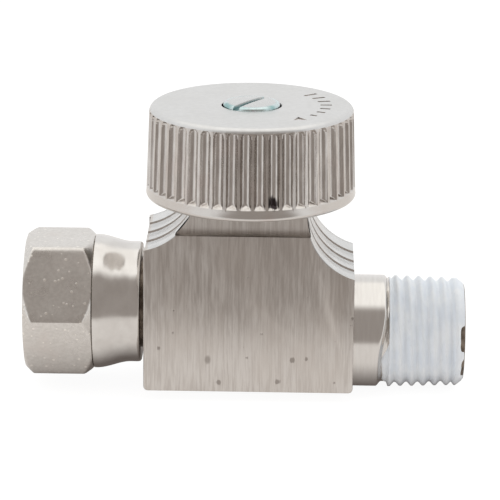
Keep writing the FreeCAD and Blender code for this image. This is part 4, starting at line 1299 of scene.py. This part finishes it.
def round_copies(tree_name):
    """A tree that copies its mesh round Z, welds it, and gives it two finishes."""
    group = bpy.data.node_groups.new(tree_name, "GeometryNodeTree")
    face = group.interface
    face.new_socket("Sector", in_out="INPUT", socket_type="NodeSocketGeometry")
    wanted = {"Count": "Int", "Start angle": "Float", "Top above": "Float"}
    wanted.update({"Side finish": "Material", "Top finish": "Material"})
    sockets = {}
    for name, kind in wanted.items():
        sockets[name] = face.new_socket(name, in_out="INPUT", socket_type="NodeSocket" + kind).identifier
    face.new_socket("Mesh", in_out="OUTPUT", socket_type="NodeSocketGeometry")
    given = group.nodes.new("NodeGroupInput").outputs
    index = add_node(group, "GeometryNodeInputIndex").outputs[0]
    step = maths(group, "DIVIDE", 2 * math.pi, given["Count"])
    angle = maths(group, "MULTIPLY_ADD", index, step, given["Start angle"])
    turn = add_node(group, "ShaderNodeCombineXYZ", {"Z": angle}).outputs[0]
    points = add_node(group, "GeometryNodePoints", {"Count": given["Count"]}).outputs[0]
    placed = {"Points": points, "Instance": given["Sector"], "Rotation": turn}
    copies = add_node(group, "GeometryNodeInstanceOnPoints", placed).outputs[0]
    real = add_node(group, "GeometryNodeRealizeInstances", {"Geometry": copies}).outputs[0]
    weld = {"Geometry": real, "Distance": WELD_COPIES}
    welded = add_node(group, "GeometryNodeMergeByDistance", weld).outputs[0]
    sides = {"Geometry": welded, "Material": given["Side finish"]}
    sides = add_node(group, "GeometryNodeSetMaterial", sides).outputs[0]
    rise = axes_of(group, add_node(group, "GeometryNodeInputPosition").outputs[0])["Z"]
    high = maths(group, "GREATER_THAN", rise, given["Top above"])
    tops = {"Geometry": sides, "Selection": high, "Material": given["Top finish"]}
    done = add_node(group, "GeometryNodeSetMaterial", tops).outputs[0]
    group.links.new(done, group.nodes.new("NodeGroupOutput").inputs[0])
    return group, sockets


copies_tree, copies_sockets = round_copies("sectors_round_an_axis")
print("inputs of the copies:", ", ".join(copies_sockets))

# %% [markdown]
# The inputs are set, the modifier is worked out once, and its result is kept as a plain mesh. Its faces are
# then all turned to look outwards, because a boolean needs to know inside from outside.

# %% Knob


def made_plain(obj, name):
    """The evaluated mesh of an object as a new plain object facing outwards, and the old one removed."""
    graph = bpy.context.evaluated_depsgraph_get()
    mesh = bpy.data.meshes.new_from_object(obj.evaluated_get(graph))
    bm = bmesh.new()
    bm.from_mesh(mesh)
    bmesh.ops.recalc_face_normals(bm, faces=bm.faces)
    bm.to_mesh(mesh)
    bm.free()
    mesh.name = name
    made = bpy.data.objects.new(name, mesh)
    bpy.context.scene.collection.objects.link(made)
    bpy.data.objects.remove(obj)
    return made


sector = link_mesh("knob_sector", sector_bm, [knob_flutes, knob_satin])
copier = sector.modifiers.new("copies", "NODES")
copier.node_group = copies_tree
copier[copies_sockets["Count"]] = FLUTES
copier[copies_sockets["Start angle"]] = FLUTE_TURN
copier[copies_sockets["Top above"]] = (knob_high.z - FLUTE_TOP - 0.05) * MM
copier[copies_sockets["Side finish"]] = knob_flutes
copier[copies_sockets["Top finish"]] = knob_satin
knob = made_plain(sector, "knob_finished")
print("knob:", len(knob.data.polygons), "faces, finishes:", [m.name for m in knob.data.materials])

# %% [markdown]
# The maker's words on the top are left out. In their place the knob has a plain scale such as any valve could
# have: a curved row of ticks that grow in the direction of opening, and a small arrowhead. A bump could fake
# them, but they are stamped into the metal, so they are cut with a boolean, and so is the square socket for
# the stem.

# %% Stamped marks and socket
MARK_DEEP = 0.10
MARK_R = 9.0
TICK_FIRST, TICK_LAST, TICK_STEP = -34, 38, 12
TICK_SHORT, TICK_GROWS = 0.9, 0.16
TICK_WIDTH = 0.42
ARROW_AT = -50
ARROW_R = 0.95
SOCKET_HALF = 2.37
SOCKET_DEEP = 1.9


def on_top(degrees):
    """The place on the knob's top at the marks' radius and at an angle."""
    return Matrix.Rotation(math.radians(degrees), 4, "Z") @ Matrix.Translation((MARK_R, 0, knob_high.z))


def marks():
    bm = bmesh.new()
    for i, degrees in enumerate(stepped(TICK_FIRST, TICK_LAST, TICK_STEP)):
        tick = bmesh.ops.create_cube(bm, size=1.0)["verts"]
        size = (TICK_SHORT + TICK_GROWS * i, TICK_WIDTH, 2 * MARK_DEEP)
        bmesh.ops.scale(bm, vec=size, verts=tick)
        bmesh.ops.transform(bm, matrix=on_top(degrees), verts=tick)
    prism = {"segments": 3, "radius1": ARROW_R, "radius2": ARROW_R, "depth": 2 * MARK_DEEP}
    head = bmesh.ops.create_cone(bm, cap_ends=True, **prism)["verts"]
    turned = on_top(ARROW_AT) @ Matrix.Rotation(math.pi / 3, 4, "Z")
    bmesh.ops.transform(bm, matrix=turned, verts=head)
    return bm


def socket():
    bm = bmesh.new()
    made = bmesh.ops.create_cube(bm, size=1.0)["verts"]
    bmesh.ops.scale(bm, vec=(2 * SOCKET_HALF, 2 * SOCKET_HALF, 2 * SOCKET_DEEP), verts=made)
    turned = Matrix.Translation((0, 0, HUB_FOOT)) @ Matrix.Rotation(FLUTE_TURN, 4, "Z")
    bmesh.ops.transform(bm, matrix=turned, verts=made)
    return bm


cut_or_join(knob, marks(), "DIFFERENCE")
cut_or_join(knob, socket(), "DIFFERENCE")
shade(knob, 36)
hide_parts("knob")
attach(knob, "knob_and_stem")
print("knob after cuts:", len(knob.data.polygons), "faces")

# %% [markdown]
# ## Knob's screw
# A plain steel screw with a low slotted head holds the knob. It is another turned shape: the shank has a real
# thread, and the head has a rounded edge and a top that is very slightly domed, so that it catches the light.

# %% Screw
HEAD_R = (screw_high.x - screw_low.x) / 2
HEAD_TOP = screw_high.z
HEAD_LOW = washer_high.z
HEAD_ROUND = 0.42
HEAD_DOME = 0.08
SHANK_R = 1.5
NECK_UNDER_R = 1.3
TIP_R = 1.1
SCREW_PITCH = 0.5
SCREW_CUT = 0.28


def screw_radius(along, radius, share, angle):
    """share 1 is the thread, 0 a plain wall."""
    return radius - SCREW_CUT * share * groove(along / SCREW_PITCH - angle / (2 * math.pi))


def screw_section():
    tip = screw_low.z
    section = [(tip, 0, 0), (tip, TIP_R, 0), (tip + 0.2, SHANK_R - 0.15, 0)]
    section += [(z, SHANK_R, 1) for z in stepped(tip + 0.3, HEAD_LOW - 0.8, SCREW_PITCH / 10)]
    section += [(HEAD_LOW - 0.5, NECK_UNDER_R, 0), (HEAD_LOW, NECK_UNDER_R, 0)]
    section += [(HEAD_LOW, HEAD_R - 0.1, 0), (HEAD_LOW + 0.1, HEAD_R, 0)]
    for degrees in stepped(0, 90, 15):
        a = math.radians(degrees)
        z = HEAD_TOP - HEAD_DOME - HEAD_ROUND + HEAD_ROUND * math.sin(a)
        section.append((z, HEAD_R - HEAD_ROUND + HEAD_ROUND * math.cos(a), 0))
    return section + [(HEAD_TOP - 0.03, HEAD_R * 0.6, 0), (HEAD_TOP, HEAD_R * 0.25, 0), (HEAD_TOP, 0, 0)]


screw_bm = swept(screw_section(), even_angles(72), screw_radius, "Z")
print("screw:", len(screw_bm.faces), "faces,", round(HEAD_TOP - screw_low.z, 1), "mm long")

# %% [markdown]
# Its zinc plate has a blue and violet tint. The tint is worn off the flat top, which is plain grey, and is
# left on the rounded edge and in the slot. So the finish depends on the distance from the axis and on the
# height.

# %% Tinted zinc
ZINC_BLUE, ZINC_PALE = (0.30, 0.47, 0.47), (0.60, 0.70, 0.71)
ZINC_VIOLET = (0.62, 0.52, 0.60)
ZINC_DULL = (0.45, 0.48, 0.47)
ZINC_WORN = (0.60, 0.605, 0.60)


def tinted_zinc():
    material, tree, place = start_material("tinted_zinc")
    wide = stretched_noise(tree, place, (420, 420, 420), detail=2.0)
    fine = stretched_noise(tree, place, (2200, 2200, 2200), detail=4.0)
    tint = blend_colours(tree, blend_numbers(tree, wide, 0.35, 0.55, 0, 1), ZINC_BLUE, ZINC_PALE)
    tint = blend_colours(tree, blend_numbers(tree, wide, 0.56, 0.64, 0, 0.8), tint, ZINC_VIOLET)
    tint = blend_colours(tree, blend_numbers(tree, fine, 0.5, 0.75, 0, 0.5), tint, ZINC_DULL)
    off_axis = away_from(tree, place, (0, 0, 0), (1.0, 1.0, 0.0))
    edge = blend_numbers(tree, off_axis, (HEAD_R - 0.75) * MM, (HEAD_R - 0.3) * MM, 0, 1)
    height = axes_of(tree, place)["Z"]
    sunken = blend_numbers(tree, height, (HEAD_TOP - 0.35) * MM, (HEAD_TOP - 0.12) * MM, 1, 0)
    colour = blend_colours(tree, maths(tree, "MAXIMUM", edge, sunken), ZINC_WORN, tint)
    roughness = blend_numbers(tree, fine, 0.3, 0.7, 0.2, 0.34)
    end_material(tree, colour, roughness, fine, depth=0.01, strength=0.3)
    return material


screw = link_mesh("knob_screw_finished", screw_bm, [tinted_zinc()])
print("made", screw.data.materials[0].name)

# %% [markdown]
# The slot is a box cut across the head. A fine bevel then breaks its edges, because a slot's edge is never
# quite sharp and shows as a thin bright line.

# %% Slot
SLOT_W = 0.85
SLOT_DEEP = 0.75
SLOT_TURN = math.radians(57)
SLOT_EDGE = 0.05

slot_bm = bmesh.new()
bmesh.ops.create_cube(slot_bm, size=1.0)
bmesh.ops.scale(slot_bm, vec=(SLOT_W, 3 * HEAD_R, 2 * SLOT_DEEP), verts=slot_bm.verts)
slot_place = Matrix.Translation((0, 0, HEAD_TOP)) @ Matrix.Rotation(SLOT_TURN - math.pi / 2, 4, "Z")
bmesh.ops.transform(slot_bm, matrix=slot_place, verts=slot_bm.verts)
cut_or_join(screw, slot_bm, "DIFFERENCE")
bevel = screw.modifiers.new("edges", "BEVEL")
bevel.width = SLOT_EDGE * MM
bevel.segments = 2
bevel.angle_limit = math.radians(50)
screw = made_plain(screw, "knob_screw_finished")
shade(screw, 40)
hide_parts("knob_screw")
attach(screw, "knob_and_stem")
print("screw:", len(screw.data.polygons), "faces")

# %% [markdown]
# ## Inner pieces
# The pieces inside keep their CAD shapes, because they are plain turned parts that hardly show, and a finer
# mesh would add nothing. Each still gets the finish of its own metal or plastic. The metals use the shared
# recipe. Plastic and rubber have a cloudy colour instead of grain, and no metallic shine.

# %% Inner finishes


def plastic(name, dark, light, rough, grain=900.0):
    """A matt moulded or cut plastic, slightly cloudy."""
    material, tree, place = start_material(name)
    cloud = stretched_noise(tree, place, (grain, grain, grain))
    colour = blend_colours(tree, cloud, dark, light)
    roughness = blend_numbers(tree, cloud, 0.3, 0.7, rough[0], rough[1])
    end_material(tree, colour, roughness, cloud, metallic=0.0, depth=0.02, strength=0.25)
    return material


plain_brass = metal("plain_brass", (0.55, 0.40, 0.17), (0.80, 0.62, 0.32), (400, 400, 3800), (0.22, 0.36))
ground_steel = metal("ground_steel", (0.50, 0.50, 0.50), (0.70, 0.70, 0.69), (420, 420, 3600), (0.16, 0.28))
soft_copper = metal("soft_copper", (0.55, 0.26, 0.14), (0.80, 0.46, 0.30), (1500, 1500, 1500), (0.3, 0.5))
zinc_plate = metal("zinc_plate", (0.50, 0.56, 0.58), (0.74, 0.78, 0.78), (1700, 1700, 1700), (0.2, 0.34))
white_ptfe = plastic("white_ptfe", (0.82, 0.82, 0.80), (0.92, 0.92, 0.90), (0.35, 0.5))
pale_nylon = plastic("pale_nylon", (0.74, 0.71, 0.60), (0.86, 0.83, 0.73), (0.35, 0.5))
black_rubber = plastic("black_rubber", (0.012, 0.012, 0.012), (0.03, 0.03, 0.03), (0.45, 0.65))
print(len(bpy.data.materials), "materials in all")

# %% [markdown]
# A CAD node is never moved or reshaped here. Only its list of materials is changed.

# %% Finishes of the CAD nodes
INNER = {
    "swivel_nipple": stained_nickel,
    "swivel_gasket": pale_nylon,
    "bonnet_washer": soft_copper,
    "bonnet": plain_brass,
    "packing_washer": zinc_plate,
    "packing_ring_lower": white_ptfe,
    "packing_ring_upper": white_ptfe,
    "gland_follower": plain_brass,
    "packing_nut": plain_brass,
    "needle_stem": ground_steel,
    "stem_o_ring": black_rubber,
    "lock_washer": zinc_plate,
}
for node, material in INNER.items():
    mesh = frame["nodes"][node].data
    mesh.materials.clear()
    mesh.materials.append(material)
print(len(INNER), "CAD nodes finished")

# %% [markdown]
# ## End

# %% End
print("scene built")
